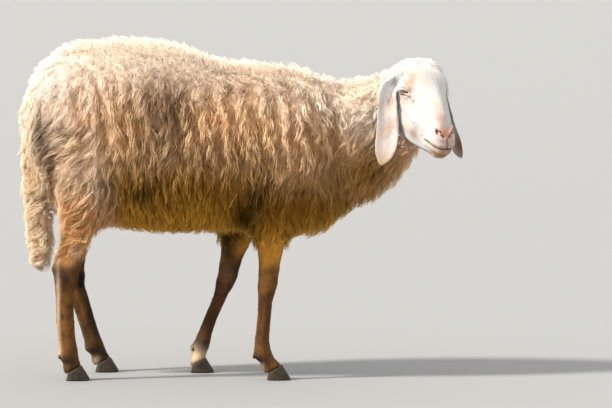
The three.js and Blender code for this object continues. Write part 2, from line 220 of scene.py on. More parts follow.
def merged(name, swell=0.0):
    """A closed copy of a solid, pushed out a little so that it overlaps its neighbours."""
    bm = bmesh.new()
    bm.from_mesh(frame["nodes"][name].data)
    bmesh.ops.remove_doubles(bm, verts=bm.verts, dist=WELD)
    bmesh.ops.recalc_face_normals(bm, faces=bm.faces)
    bm.normal_update()
    for vert in bm.verts:
        vert.co += vert.normal * swell
    return bm


def solid_tree(name):
    """A search tree of a solid's surface."""
    bm = merged(name)
    tree = BVHTree.FromBMesh(bm)
    bm.free()
    return tree


def piece(name, source):
    """A new object from a bmesh or a mesh."""
    mesh = source
    if isinstance(source, bmesh.types.BMesh):
        mesh = bpy.data.meshes.new(name)
        source.to_mesh(mesh)
        source.free()
    made = bpy.data.objects.new(name, mesh)
    bpy.context.scene.collection.objects.link(made)
    return made


def joined(name, parts):
    """One object from several bmeshes, which are used up."""
    bm = bmesh.new()
    for part in parts:
        scratch = bpy.data.meshes.new("scratch")
        part.to_mesh(scratch)
        part.free()
        bm.from_mesh(scratch)
        bpy.data.meshes.remove(scratch)
    return piece(name, bm)


def settled(made):
    """The object's mesh with its modifiers worked in."""
    graph = bpy.context.evaluated_depsgraph_get()
    mesh = bpy.data.meshes.new_from_object(made.evaluated_get(graph))
    made.modifiers.clear()
    old, made.data = made.data, mesh
    bpy.data.meshes.remove(old)
    return made


def fused(made, voxel):
    """The object as one closed surface of even squares, a voxel wide."""
    remesh = made.modifiers.new("fuse", "REMESH")
    remesh.mode, remesh.voxel_size, remesh.use_smooth_shade = "VOXEL", voxel, True
    return settled(made)


print("mesh helpers ready")


# %% Points as arrays
def points(made, what="co"):
    found = np.empty(len(made.data.vertices) * 3)
    made.data.vertices.foreach_get(what, found)
    return found.reshape(-1, 3)


def normals(made):
    return points(made, "normal")


def put(made, places):
    made.data.vertices.foreach_set("co", places.ravel())
    made.data.update()


def spread(made, values, times, hold=None):
    """Values at the points, each averaged with its neighbours, times over. hold=1 keeps a point."""
    ends = np.empty(len(made.data.edges) * 2, int)
    made.data.edges.foreach_get("vertices", ends)
    one, two = ends.reshape(-1, 2).T
    count = np.bincount(ends, minlength=len(values)).astype(float)
    values = values.astype(float).reshape(len(count), -1)
    share = 0.5 if hold is None else 0.5 * (1 - hold)[:, None]
    for _ in range(times):
        total = np.stack(
            [
                np.bincount(one, column[two], len(count)) + np.bincount(two, column[one], len(count))
                for column in values.T
            ],
            1,
        )
        values = values + share * (total / count[:, None] - values)
    return values


def step(low, high, value):
    """0 below low, 1 above high, and a smooth slope between them."""
    t = np.clip((value - low) / (high - low), 0, 1)
    return t * t * (3 - 2 * t)


def cloud(places, scale, seed=0.0):
    """Smooth noise from -1 to 1 at the places."""
    return np.array([noise.noise(Vector(place) * scale + Vector((seed, seed, seed))) for place in places])


def tree_over(places):
    """A search tree of the places, which finds the nearest of them to any other place."""
    tree = kdtree.KDTree(len(places))
    for index, place in enumerate(places):
        tree.insert(place, index)
    tree.balance()
    return tree


def unit(vectors):
    """The vectors at length 1."""
    return vectors / np.maximum(np.linalg.norm(vectors, axis=-1, keepdims=True), 1e-9)


print("array helpers ready")

# %% [markdown]
# ## The head's own axes
# Everything on the face is easier to say in the head's own directions: forward along the nose, left,
# and up through the brow. The head is turned to the viewer and nods, so we take its left from the line
# between the two eyes, and its forward from that line and the nod.

# %% Head axes
HEAD_NOD = math.radians(34)
UP = Vector((0, 0, 1))
EYES = {side: sum(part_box("eye_" + side), Vector()) / 2 for side in ("left", "right")}
EYE_RADIUS = (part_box("eye_left")[1].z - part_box("eye_left")[0].z) / 2
LEFT = (EYES["left"] - EYES["right"]).normalized()
AHEAD = LEFT.cross(UP).normalized()
FORWARD = AHEAD * math.cos(HEAD_NOD) - UP * math.sin(HEAD_NOD)
UPWARD = AHEAD * math.sin(HEAD_NOD) + UP * math.cos(HEAD_NOD)
HEAD_AXES = np.array([FORWARD, LEFT, UPWARD])
HEAD_AT = np.array((EYES["left"] + EYES["right"]) / 2) + 3 * MM * HEAD_AXES[0] + MM * HEAD_AXES[2]


def in_head(places):
    """Places as forward, left and up from between the eyes, in millimetres."""
    return (places - HEAD_AT) @ HEAD_AXES.T / MM


def from_head(forward, left, up):
    """The way back: a place on the sheep from the head's own directions."""
    return Vector(HEAD_AT + MM * np.array([forward, left, up]) @ HEAD_AXES)


def past_wool(ahead, up):
    """How far a place of the head lies in front of the edge of the neck's wool, in millimetres."""
    return ahead - (-48 + 0.6 * np.clip(-up, 0, 100))


def on_face(places):
    """1 on the short hair of the head and ears, 0 where the neck's wool begins behind them."""
    ahead, aside, up = in_head(places).T
    near_head = (np.abs(aside) < 92) & (up > -125) & (up < 100)
    return near_head * step(-4, 4, past_wool(ahead, up))


def eye_gap(places):
    """The distance from each place to the nearer eyeball's surface."""
    return np.min([np.linalg.norm(places - np.array(EYES[side]), axis=1) for side in EYES], 0) - EYE_RADIUS


print("eye radius:", round(EYE_RADIUS / MM, 1), "mm; forward:", [round(c, 3) for c in FORWARD])

# %% [markdown]
# ## Skin of the body
# The solids reach to the tips of the wool, so the skin has to lie inside them by the depth of the coat.
# We fuse trunk, neck, tail and the tops of the legs, and then move every point inwards by the coat's
# depth there. That depth is given for each solid and blurred over the surface, so the skin runs on
# without a step from the woolly thigh to the bare shank.

# %% Coat depths
# Depths in millimetres. On the top of a leg the coat grows from BARE to its full depth between two levels.
WOOLLY = {"trunk": 31, "neck": 27, "tail": 20, "head": 7}
BARE = 1.5
LEGS = [pair + side for pair in ("fore_leg_", "hind_leg_") for side in ("left", "right")]
TOPS = {leg: leg + ("_forearm" if leg.startswith("fore") else "_thigh") for leg in LEGS}
CORE_NODES = ["trunk", "neck", "tail", "head", *TOPS.values()]
CORE_VOXEL, SHANK_VOXEL, FACE_VOXEL = 10 * MM, 4.2 * MM, 1.55 * MM
OVERLAP = 0.8 * MM
DEPTH_BLUR = 12
TOP_WOOL = {"fore": (0.335, 0.42, 24), "hind": (0.275, 0.46, 27)}


def top_depth(leg, z):
    """Coat depth on the top of a leg, which thins downwards, in millimetres."""
    low, high, deep = TOP_WOOL[leg[:4]]
    return BARE + (deep - BARE) * step(low, high, z)


def nearest_solid(places, names):
    """For each place, which of the named solids it is nearest to."""
    trees = [solid_tree(name) for name in names]
    gaps = np.array([[tree.find_nearest(place)[3] for tree in trees] for place in places])
    return gaps.argmin(1)


core = joined("skin", [merged(name, OVERLAP) for name in CORE_NODES])
fused(core, CORE_VOXEL)
where = points(core)
owner = nearest_solid(where, CORE_NODES)
depth = np.zeros(len(where))
for index, name in enumerate(CORE_NODES):
    mine = owner == index
    leg = next((leg for leg, top in TOPS.items() if top == name), None)
    depth[mine] = top_depth(leg, where[mine, 2]) if leg else WOOLLY[name]
depth = spread(core, depth, DEPTH_BLUR)[:, 0]
print("core points:", len(where), "depth:", depth.min().round(1), "to", depth.max().round(1), "mm")

# %% Sink the core
SINK_STEPS = 8
for _ in range(SINK_STEPS):
    where = points(core) - normals(core) * (depth * MM / SINK_STEPS)[:, None]
    put(core, spread(core, where, 2))
core_tree = tree_over(points(core))
print("core box:", points(core).min(0).round(3), points(core).max(0).round(3))

# %% [markdown]
# ## Skin of the legs
# The shanks are bare of wool, so they need a finer mesh than the body: tendons, joints and the little
# claws' pads are only a few millimetres deep. Each leg is fused by itself, its facets are smoothed
# away, and then it is pushed in and out along its normals where the real leg has a hollow or a knob.

# %% Leg skins
# Under the cut the leg sinks UNDER_CORE mm and narrows by the share NECKED, to end well inside the body.
SHANK_SMOOTH = 9
UNDER_CORE, NECKED = 8, 0.6
FOOT_HIGH, FOOT_DEPTH = 0.03, 0.4
CUT_AT = {"fore": 0.372, "hind": 0.340}


def cut_above(bm, height):
    """Keeps what is below a level, and closes the cut."""
    whole = bm.verts[:] + bm.edges[:] + bm.faces[:]
    level = (0, 0, height)
    cut = bmesh.ops.bisect_plane(bm, geom=whole, plane_co=level, plane_no=UP, clear_outer=True)
    rim = [part for part in cut["geom_cut"] if isinstance(part, bmesh.types.BMEdge)]
    bmesh.ops.contextual_create(bm, geom=rim)
    return bm


def leg_skin(leg):
    """A leg from its cut top to its pastern, as one skin under the wool."""
    cut = CUT_AT[leg[:4]]
    top = cut_above(merged(TOPS[leg], OVERLAP), cut)
    below = [merged(leg + ending, OVERLAP) for ending in ("_cannon", "_pastern")]
    made = fused(joined(leg + "_skin", [top, *below]), SHANK_VOXEL)
    places = spread(made, points(made), SHANK_SMOOTH)
    put(made, places)
    sunk = top_depth(leg, places[:, 2]) + UNDER_CORE * step(cut - 0.050, cut - 0.008, places[:, 2])
    sunk = np.where(places[:, 2] < FOOT_HIGH, FOOT_DEPTH, sunk)
    sunk = spread(made, sunk, DEPTH_BLUR)[:, 0]
    for _ in range(SINK_STEPS):
        places = points(made) - normals(made) * (sunk * MM / SINK_STEPS)[:, None]
        put(made, spread(made, places, 1, hold=np.clip(1 - sunk / 4, 0, 1)))
    places = points(made)
    middle = places[places[:, 2] > cut - 0.025].mean(0)[:2]
    narrow = NECKED * step(cut - 0.034, cut - 0.004, places[:, 2])
    places[:, :2] += narrow[:, None] * (middle - places[:, :2])
    put(made, places)
    return made


leg_skins = {leg: leg_skin(leg) for leg in LEGS}
for leg, made in leg_skins.items():
    print(leg, "points:", len(made.data.vertices))

# %% [markdown]
# A shank isn't a plain tube: knee and hock are knobs, the fetlock bulges behind, the tendon stands off
# the bone with a hollow on each side of it. They could be sculpted by hand. Here each is a soft push
# around one point of the leg, given by its height and by its direction seen from above, so the same
# short list shapes both legs of a pair, alike on their inner and outer sides.

# %% Joints and tendons
# (height above the ground, reach along the leg in mm, degrees from the front, reach in degrees, push in mm)
BOTH_FEET = [
    (0.076, 12, 90, 45, 1.8),
    (0.062, 11, 180, 50, 4.4),
    (0.060, 8, 140, 24, 2.0),
    (0.041, 8, 180, 50, -2.6),
    (0.052, 9, 0, 55, -1.0),
    (0.034, 5, 60, 90, 1.0),
]
LEG_FORMS = {
    "fore": [
        (0.238, 19, 0, 50, 2.6),
        (0.226, 13, 75, 30, 1.8),
        (0.232, 12, 180, 34, 2.2),
        (0.262, 16, 110, 30, -1.8),
        (0.196, 11, 20, 60, -1.6),
        (0.140, 50, 118, 20, -2.6),
        (0.140, 55, 0, 60, 3.2),
        (0.140, 60, 180, 40, 3.0),
        *BOTH_FEET,
    ],
    "hind": [
        (0.288, 17, 180, 34, 3.0),
        (0.292, 20, 112, 24, -3.2),
        (0.252, 15, 80, 38, 2.2),
        (0.246, 13, 0, 40, 1.8),
        (0.214, 12, 10, 60, -1.6),
        (0.150, 55, 118, 20, -2.6),
        (0.155, 65, 0, 60, 3.0),
        (0.155, 65, 180, 40, 3.6),
        *BOTH_FEET,
    ],
}
print("forms on each leg:", {kind: len(forms) for kind, forms in LEG_FORMS.items()})


# %% Model the legs
LEVEL_GAP, SHANK_ROUGH = 0.006, 0.5


def model_leg(leg, made):
    """Presses the joints' knobs and the hollows beside the tendons into a shank, alike on both its sides."""
    places = points(made)
    levels = np.arange(0.02, 0.33, LEVEL_GAP)
    rings = [places[np.abs(places[:, 2] - level) < LEVEL_GAP] for level in levels]
    centres = np.array([(ring[:, :2].min(0) + ring[:, :2].max(0)) / 2 for ring in rings])
    middle = [np.interp(places[:, 2], levels, centres[:, axis]) for axis in (0, 1)]
    facing = np.degrees(np.arctan2(np.abs(places[:, 1] - middle[1]), places[:, 0] - middle[0]))
    push = np.zeros(len(places))
    for height, reach, at, across, high in LEG_FORMS[leg[:4]]:
        along = (places[:, 2] - height) / (reach * MM)
        push += high * np.exp(-(along**2) - ((facing - at) / across) ** 2)
    push += SHANK_ROUGH * cloud(places, 60.0, 3.0)
    put(made, places + normals(made) * (push * MM * step(0.02, FOOT_HIGH, places[:, 2]))[:, None])
    return push


for leg, made in leg_skins.items():
    push = model_leg(leg, made)
    print(leg, "pushed from", push.min().round(1), "to", push.max().round(1), "mm")

# %% [markdown]
# ## Skin of the head
# The head and its ears are fused from a finer net again. For the lids we first close the eye with a
# ball a little larger than the eyeball, and let the face sink smoothly onto that ball. Then a wedge is
# cut out from corner to corner: what is left above and below it are the lids, as thick as the ball is
# larger. The ewe looks into the light, so the slit is narrow, and it slopes down to its inner corner.

# %% Lids
LID_THICK = 2.1 * MM
LID_RADIUS = EYE_RADIUS + LID_THICK
EYE_FACES, EYE_DROP = math.radians(45), math.radians(9)
CORNER, UPPER_EDGE, LOWER_EDGE = math.radians(66), math.radians(13), math.radians(15)
# The face sinks onto the ball up to so many degrees from the way the eye faces, and so far from it.
SINK_TURN, SINK_REACH = 62, 40 * MM


def eye_axes(side):
    """Along the slit to its inner corner, out of the head, and up across the slit."""
    away = LEFT if side == "left" else -LEFT
    out = away * math.cos(EYE_FACES) + AHEAD * math.sin(EYE_FACES)
    level = (AHEAD - AHEAD.dot(out) * out).normalized()
    inner = level * math.cos(EYE_DROP) - UP * math.sin(EYE_DROP)
    up = (UP - UP.dot(inner) * inner).normalized()
    return inner, out, up


def eye_ball(side, radius):
    bm = bmesh.new()
    bmesh.ops.create_uvsphere(bm, u_segments=64, v_segments=40, radius=radius)
    bmesh.ops.translate(bm, verts=bm.verts, vec=EYES[side])
    return bm


def settle_on_eyes(places):
    """The face's points near an eye, sunk toward it so that the surface runs onto the lids."""
    places = places.copy()
    for side in EYES:
        out, centre = np.array(eye_axes(side)[1]), np.array(EYES[side])
        from_eye = places - centre
        far = np.linalg.norm(from_eye, axis=1)
        angle = np.degrees(np.arccos(np.clip(from_eye @ out / far, -1, 1)))
        most = LID_RADIUS / np.cos(np.radians(np.minimum(angle, 70))) * (1 + 0.9 * step(28, SINK_TURN, angle))
        sink = (far > most) & (angle < SINK_TURN) & (far < SINK_REACH) & ~on_ear(places)
        places[sink] = centre + from_eye[sink] * (most / far)[sink, None]
    return places


def slit(side):
    """The wedge between the lids' edges, wide as the eye and opening outwards from the corners' line."""
    inner, out, up = eye_axes(side)
    hinge = EYES[side] + out * LID_RADIUS * math.cos(CORNER)
    rims = [(hinge, 1.0)]
    for turn, edge in ((1, UPPER_EDGE), (-1, LOWER_EDGE)):
        run = out * (math.cos(edge) - math.cos(CORNER)) + up * turn * math.sin(edge)
        rims.append((hinge + 2.2 * LID_RADIUS * run.normalized(), 0.55))
    bm = bmesh.new()
    reach = 1.12 * LID_RADIUS * math.sin(CORNER)
    for way in (-1, 1):
        for rim, share in rims:
            bm.verts.new(rim + inner * reach * share * way)
    bmesh.ops.convex_hull(bm, input=bm.verts)
    bmesh.ops.recalc_face_normals(bm, faces=bm.faces)
    return piece("slit", bm)


print("lids", round(LID_THICK / MM, 1), "mm thick")

# %% Where the ears are
EAR_NODES, EAR_SKIN = ["ear_left", "ear_right"], 3.5 * MM
ear_trees = [solid_tree(name) for name in EAR_NODES]


def on_ear(places):
    """Whether each place is on an ear. Only places near the head are measured, to save time."""
    ahead, aside, _ = in_head(places).T
    maybe = (np.abs(aside) < 140) & (ahead < 90) & (places[:, 2] > 0.5)
    found = np.zeros(len(places), bool)
    gaps = [min(tree.find_nearest(place)[3] for tree in ear_trees) for place in places[maybe]]
    found[maybe] = np.array(gaps) < EAR_SKIN
    return found


print("an ear's skin reaches", EAR_SKIN / MM, "mm past its solid")


# %% Fuse the head
EAR_SWELL, LID_REACH = 1.3 * MM, 26 * MM
FACE_SMOOTH, EAR_SMOOTH, LID_SMOOTH, CUT_SMOOTH = 5, 14, 10, 2


def near_eyes(places, reach):
    """1 at the eyeballs' surface, falling to 0 at reach from it."""
    return 1 - step(0.3 * reach, reach, eye_gap(places))


face_parts = [merged("head", OVERLAP), *[merged(name, EAR_SWELL) for name in EAR_NODES]]
face_parts += [eye_ball(side, LID_RADIUS) for side in EYES]
face = fused(joined("face_fused", face_parts), FACE_VOXEL)
put(face, spread(face, points(face), FACE_SMOOTH))
put(face, settle_on_eyes(points(face)))
put(face, spread(face, points(face), LID_SMOOTH, hold=1 - near_eyes(points(face), LID_REACH)))
for side in EYES:
    tool = slit(side)
    cut = face.modifiers.new("cut", "BOOLEAN")
    cut.operation, cut.solver, cut.object = "DIFFERENCE", "MANIFOLD", tool
    settled(face)
    bpy.data.objects.remove(tool)
fused(face, FACE_VOXEL)
put(face, spread(face, points(face), CUT_SMOOTH))
places = points(face)
put(face, spread(face, places, EAR_SMOOTH, hold=1.0 - on_ear(places)))
print("face points:", len(places))

# %% [markdown]
# The folds of the face are pressed into the mesh. A press is a line of places in the head's own axes
# with a width and a depth: points near the line move along their normals, most at the line and less
# away from it. Grooves have a negative height and ridges a positive one. Each press is made on both
# sides of the face, so it is given only once, with its distance from the middle.

# %% Lines over the eye
ARC_POINTS = 9


def eye_arc(lift, first, last):
    """A line over an eyeball: lift is its height across the slit, first and last its ends, in degrees."""
    inner, out, up = eye_axes("left")
    lift = math.radians(lift)
    across = out * math.cos(lift) + up * math.sin(lift)
    arc = []
    for turn in np.radians(np.linspace(first, last, ARC_POINTS)):
        spoke = across * math.cos(turn) + inner * math.sin(turn)
        arc.append(tuple(in_head(np.array(EYES["left"] + LID_RADIUS * spoke))))
    return arc


print("an arc over the eye has", ARC_POINTS, "points")

# %% Folds of the face
FOLDS = {
    # name: (height in mm, half width in mm, line of forward, aside, up)
    "nose_side": (-2.4, 13.0, [(66, 36, -14), (116, 27, -20)]),
    "behind_lips": (-3.0, 12.0, [(88, 38, -54), (104, 36, -52)]),
    "cheek": (3.0, 19.0, [(12, 50, -62), (30, 48, -66)]),
    "face_crest": (2.4, 7.0, [(10, 58, -28), (34, 52, -36), (64, 43, -40)]),
    "brow": (3.2, 7.0, [(-16, 62, 22), (-2, 65, 22), (12, 58, 16)]),
    "lid_crease": (-1.6, 1.5, eye_arc(40, -58, 52)),
    "lid_fold": (1.0, 1.8, eye_arc(52, -50, 46)),
    "tear_trough": (-2.6, 2.6, [(7, 61, -4), (16, 57, 0), (27, 51, 0)]),
    "under_eye": (-1.4, 1.6, eye_arc(-42, -52, 55)),
    "under_eye_low": (-1.2, 2.4, [(-10, 64, -26), (4, 62, -30), (18, 56, -29)]),
    "muzzle_pad": (2.6, 9.0, [(140, 26, -42), (154, 18, -40)]),
    "nostril_wing": (2.6, 4.0, [(130, 24, -12), (142, 20, -8), (153, 12, -13)]),
    "nostril_floor": (1.8, 3.6, [(138, 29, -28), (150, 22, -31), (158, 11, -34)]),
    "nostril": (-6.5, 2.2, [(137, 24, -19), (145, 20.5, -18), (152, 14, -20), (157, 7, -25)]),
    "nostril_pit": (-4.0, 2.6, [(139, 24, -20), (143, 22, -19)]),
    "upper_lip": (2.2, 5.0, [(122, 33, -51), (142, 30, -48), (158, 22, -46), (166, 8, -44)]),
    "lower_lip": (1.8, 4.2, [(124, 32, -68), (144, 28, -65), (158, 20, -64), (165, 0, -61)]),
    "mouth": (
        -5.0,
        1.9,
        [(116, 33, -62), (128, 32, -59), (140, 30, -57), (157, 25, -56), (165, 12, -53), (168, 0, -51)],
    ),
    "mouth_corner": (-3.0, 4.6, [(106, 36, -60), (114, 34, -66)]),
    "philtrum": (-2.8, 1.6, [(160, 0, -28), (165, 0, -40), (168, 0, -50)]),
    "chin": (2.0, 9.0, [(150, 8, -82)]),
}
print("folds:", len(FOLDS))

# %% Press folds into the face
FILL_GAP, DEEP_FROM, DEEP_SHARE, PRESS_ROUNDS = 1.5, 9, 0.2, 3


def drop(line, made_tree, side):
    """A fold's line on one side of the face, laid on the skin and filled in to a point each FILL_GAP mm."""
    line = np.array(line, float) * (1, side, 1)
    filled = [line[:1]]
    for one, two in zip(line[:-1], line[1:]):
        count = max(1, round(np.linalg.norm(two - one) / FILL_GAP))
        filled.append(one + (two - one) * (np.arange(1, count + 1) / count)[:, None])
    found = [made_tree.find_nearest(from_head(*place))[:2] for place in np.concatenate(filled)]
    return np.array([np.concatenate(pair) for pair in found])


def gap_to(places, line):
    """The distance from each place to a filled line across the skin, in mm. Much depth adds to it."""
    near = tree_over(line[:, :3])
    closest = line[[near.find(place)[1] for place in places]]
    away = places - closest[:, :3]
    deep = (away * closest[:, 3:]).sum(1)
    across = np.linalg.norm(away - deep[:, None] * closest[:, 3:], axis=1) / MM
    return across + DEEP_SHARE * np.clip(np.abs(deep) / MM - DEEP_FROM, 0, None)


def close_by(places, line, margin):
    """Indices of the places inside the line's own box, widened by a margin on every side."""
    low, high = line[:, :3].min(0) - margin, line[:, :3].max(0) + margin
    return np.flatnonzero(((places > low) & (places < high)).all(1))


def press(made, folds):
    """Presses every fold into the mesh in a few rounds, and hands back the lines as they lay on it."""
    dropped = {}
    made_tree = BVHTree.FromObject(made, bpy.context.evaluated_depsgraph_get())
    for name, (height, half, line) in folds.items():
        both = np.concatenate([drop(line, made_tree, side) for side in (1, -1)])
        dropped[name] = both
        local = close_by(points(made), both, 3 * half * MM)
        for _ in range(PRESS_ROUNDS):
            places = points(made)
            weight = np.exp(-((gap_to(places[local], both) / half) ** 2))
            places[local] += normals(made)[local] * (height / PRESS_ROUNDS * MM * weight)[:, None]
            put(made, places)
    return dropped


fold_lines = press(face, FOLDS)
put(face, spread(face, points(face), 1))
print("points on the folds' lines:", sum(len(line) for line in fold_lines.values()))

# %% [markdown]
# Head, legs and body are still separate shells that run into each other. We join them by a boolean
# union, which gives one closed skin without hidden walls, and smooth only the bands where they meet.
# Before that the smooth parts of the face lose half of their triangles, so that the fine net is kept
# for lids, nostrils and mouth.

# %% One skin
FACE_KEEP, JOIN_SMOOTH = 0.5, 40
FINE_AROUND_EYES, MUZZLE_FROM = 12 * MM, 108
JOINS_FROM, JOINS_TO = (0.275, 0.295), (0.43, 0.46)


def unite(first, second):
    union = first.modifiers.new("unite", "BOOLEAN")
    union.operation, union.solver, union.object = "UNION", "MANIFOLD", second
    settled(first)
    bpy.data.objects.remove(second)


ahead = in_head(points(face))[:, 0]
plain = np.flatnonzero((near_eyes(points(face), FINE_AROUND_EYES) < 0.01) & (ahead < MUZZLE_FROM))
face.vertex_groups.new(name="plain").add(plain.tolist(), 1.0, "REPLACE")
thin = face.modifiers.new("thin", "DECIMATE")
thin.ratio, thin.vertex_group = FACE_KEEP, "plain"
settled(face)
face.vertex_groups.clear()
for other in [*leg_skins.values(), face]:
    unite(core, other)
skin = core
places = points(skin)
at_joins = step(*JOINS_FROM, places[:, 2]) * (1 - step(*JOINS_TO, places[:, 2]))
off_tail = (places[:, 0] > -0.46) | (np.abs(places[:, 1]) > 0.06)
at_joins *= off_tail
put(skin, spread(skin, places, JOIN_SMOOTH, hold=1 - at_joins))
skin.data.shade_smooth()
print("skin triangles:", sum(len(polygon.vertices) - 2 for polygon in skin.data.polygons))

# %% [markdown]
# A colour baked into an image needs the surface laid out flat. The skin is cut into islands wherever it
# turns sharply. The wool later borrows the map of the skin it stands on.

# %% Unwrap the skin
BAKE_MAP = "OFBake"


def unwrap(made):
    """Lays the piece's own surface out flat in islands, on the map that a baked colour would use."""
    made.data.uv_layers.new(name=BAKE_MAP)
    bpy.context.view_layer.objects.active = made
    made.select_set(True)
    bpy.ops.object.mode_set(mode="EDIT")
    bpy.ops.mesh.select_all(action="SELECT")
    bpy.ops.uv.smart_project(angle_limit=math.radians(66), island_margin=0.001)
    bpy.ops.object.mode_set(mode="OBJECT")
    made.select_set(False)


unwrap(skin)
skin_uv = np.empty(len(skin.data.loops) * 2)
skin.data.uv_layers[BAKE_MAP].data.foreach_get("uv", skin_uv)
skin_uv = skin_uv.reshape(-1, 2)
print("unwrapped to", skin_uv.min(0).round(3), skin_uv.max(0).round(3))

# %% [markdown]
# ## Colour of the coat
# One rule gives the colour at any place on the animal, and both the skin and the wool ask it, so a mark
# on one is on the other. Wool is cream where the weather washes it and darker toward the belly, partly
# by real stain and partly by painted shade under the body. Marks are soft balls of colour: dung by the
# tail, a grey smear on the flank, earth on the thigh, and painted shade in hollows such as behind the
# elbow.

# %% Palette
# The wool, from washed to stained; the darker ones also stand for painted shade low on the body.
CREAM, MILK, HONEY = (1.0, 0.88, 0.76), (1.0, 0.96, 0.93), (1.0, 0.77, 0.50)
STRAW, RUSSET, HEM = (0.94, 0.62, 0.34), (0.86, 0.45, 0.18), (0.86, 0.40, 0.04)
GOLD, EARTH_AND_SHADE = (0.38, 0.185, 0.030), (0.36, 0.155, 0.008)
# The shanks, and the marks of dung, earth and shade.
TAN, CLAY, STAIN = (0.112, 0.047, 0.010), (0.22, 0.13, 0.07), (0.24, 0.165, 0.11)
UMBER, BROWN = (0.12, 0.052, 0.012), (0.07, 0.026, 0.010)
SOOT, INK = (0.028, 0.014, 0.006), (0.012, 0.008, 0.005)
# The hair and the bare skin of the head.
WHITE, SNOW, PEARL = (0.535, 0.535, 0.545), (0.95, 0.95, 0.97), (0.44, 0.42, 0.40)
PINK, ROSE, PALE = (0.52, 0.25, 0.155), (0.31, 0.14, 0.09), (0.58, 0.42, 0.30)
AMBER, BLUSH, FAWN = (0.38, 0.17, 0.03), (0.50, 0.38, 0.31), (0.42, 0.26, 0.18)
LIVER, NUT, SLATE = (0.15, 0.06, 0.035), (0.105, 0.045, 0.012), (0.090, 0.096, 0.102)
print("cream:", CREAM, "white of the face:", WHITE)

# %% Marks on the body
BODY_MARKS = [
    # (centre, reach, colour, strength), laid over each other in this order
    # The smear on the flank, and the gap and the streaks beside the tail.
    ((-0.176, -0.20, 0.675), (0.044, 0.12, 0.066), UMBER, 0.90),
    ((-0.190, -0.20, 0.650), (0.075, 0.12, 0.100), STAIN, 0.60),
    ((-0.490, -0.10, 0.600), (0.019, 0.22, 0.058), INK, 0.99),
    ((-0.430, -0.17, 0.622), (0.040, 0.09, 0.009), SOOT, 0.60),
    ((-0.345, -0.18, 0.585), (0.030, 0.10, 0.014), STAIN, 0.55),
    # The thigh and the low flank, with painted shade in the fold in front of the thigh.
    ((-0.330, -0.16, 0.480), (0.022, 0.10, 0.050), STAIN, 0.75),
    ((-0.468, -0.10, 0.485), (0.014, 0.10, 0.100), UMBER, 0.92),
    ((-0.226, -0.18, 0.470), (0.042, 0.12, 0.032), UMBER, 0.92),
    ((-0.100, -0.18, 0.560), (0.200, 0.10, 0.022), STAIN, 0.25),
    # Painted shade in the hollow behind the elbow, and the chest.
    ((0.014, -0.15, 0.404), (0.040, 0.20, 0.044), INK, 0.98),
    ((0.042, -0.16, 0.448), (0.018, 0.20, 0.036), SOOT, 0.88),
    ((0.070, -0.16, 0.485), (0.016, 0.20, 0.030), UMBER, 0.75),
    ((0.160, -0.14, 0.470), (0.030, 0.08, 0.012), UMBER, 0.60),
    ((0.320, -0.10, 0.515), (0.110, 0.14, 0.060), GOLD, 0.92),
    # The right hind leg, from the hock down; the thin pale strips down its back edge, which faces the sun,
    # are painted highlight.
    ((-0.434, -0.12, 0.255), (0.014, 0.09, 0.026), INK, 0.99),
    ((-0.446, -0.12, 0.270), (0.012, 0.09, 0.018), SOOT, 0.80),
    ((-0.406, -0.11, 0.322), (0.016, 0.06, 0.012), CREAM, 0.25),
    ((-0.440, -0.10, 0.335), (0.010, 0.05, 0.060), UMBER, 0.55),
    ((-0.425, -0.10, 0.085), (0.030, 0.05, 0.020), UMBER, 0.70),
    ((-0.425, -0.12, 0.048), (0.024, 0.09, 0.012), INK, 0.90),
    ((-0.405, -0.12, 0.030), (0.016, 0.09, 0.016), SOOT, 0.85),
    ((-0.450, -0.10, 0.190), (0.005, 0.06, 0.120), PALE, 0.70),
    ((-0.449, -0.10, 0.075), (0.007, 0.06, 0.026), PALE, 0.75),
    # The left hind leg: the foot and the shank.
    ((-0.364, 0.10, 0.058), (0.013, 0.06, 0.013), INK, 0.98),
    ((-0.366, 0.10, 0.028), (0.012, 0.05, 0.012), PALE, 0.70),
    ((-0.372, 0.10, 0.135), (0.024, 0.05, 0.080), SOOT, 0.75),
    # The right foreleg: the knee and the foot.
    ((0.090, -0.11, 0.250), (0.009, 0.09, 0.008), INK, 0.85),
    ((0.084, -0.10, 0.228), (0.004, 0.05, 0.020), UMBER, 0.75),
    ((0.045, -0.11, 0.052), (0.012, 0.09, 0.010), INK, 0.92),
    ((0.066, -0.11, 0.042), (0.008, 0.09, 0.014), INK, 0.75),
    ((0.050, -0.11, 0.030), (0.010, 0.09, 0.010), PALE, 0.90),
    # The left foreleg.
    ((-0.104, 0.09, 0.078), (0.013, 0.06, 0.012), INK, 0.98),
    ((-0.080, 0.09, 0.122), (0.022, 0.06, 0.034), SOOT, 0.80),
    ((-0.112, 0.10, 0.040), (0.026, 0.05, 0.024), HONEY, 0.97),
    ((-0.028, 0.10, 0.345), (0.020, 0.05, 0.022), SOOT, 0.60),
    ((-0.060, 0.10, 0.150), (0.020, 0.05, 0.060), BROWN, 0.60),
    # Broad tones: the right fore shank, the rump over the tail, and the tops of both forelegs.
    ((0.062, -0.10, 0.150), (0.030, 0.05, 0.065), BROWN, 0.72),
    ((-0.470, -0.04, 0.720), (0.060, 0.20, 0.090), MILK, 0.75),
    ((0.080, -0.10, 0.320), (0.070, 0.05, 0.075), GOLD, 0.40),
    ((-0.030, 0.10, 0.330), (0.030, 0.06, 0.035), SOOT, 0.80),
    ((-0.036, 0.10, 0.262), (0.020, 0.06, 0.034), CLAY, 0.55),
]
print("marks on the body:", len(BODY_MARKS))
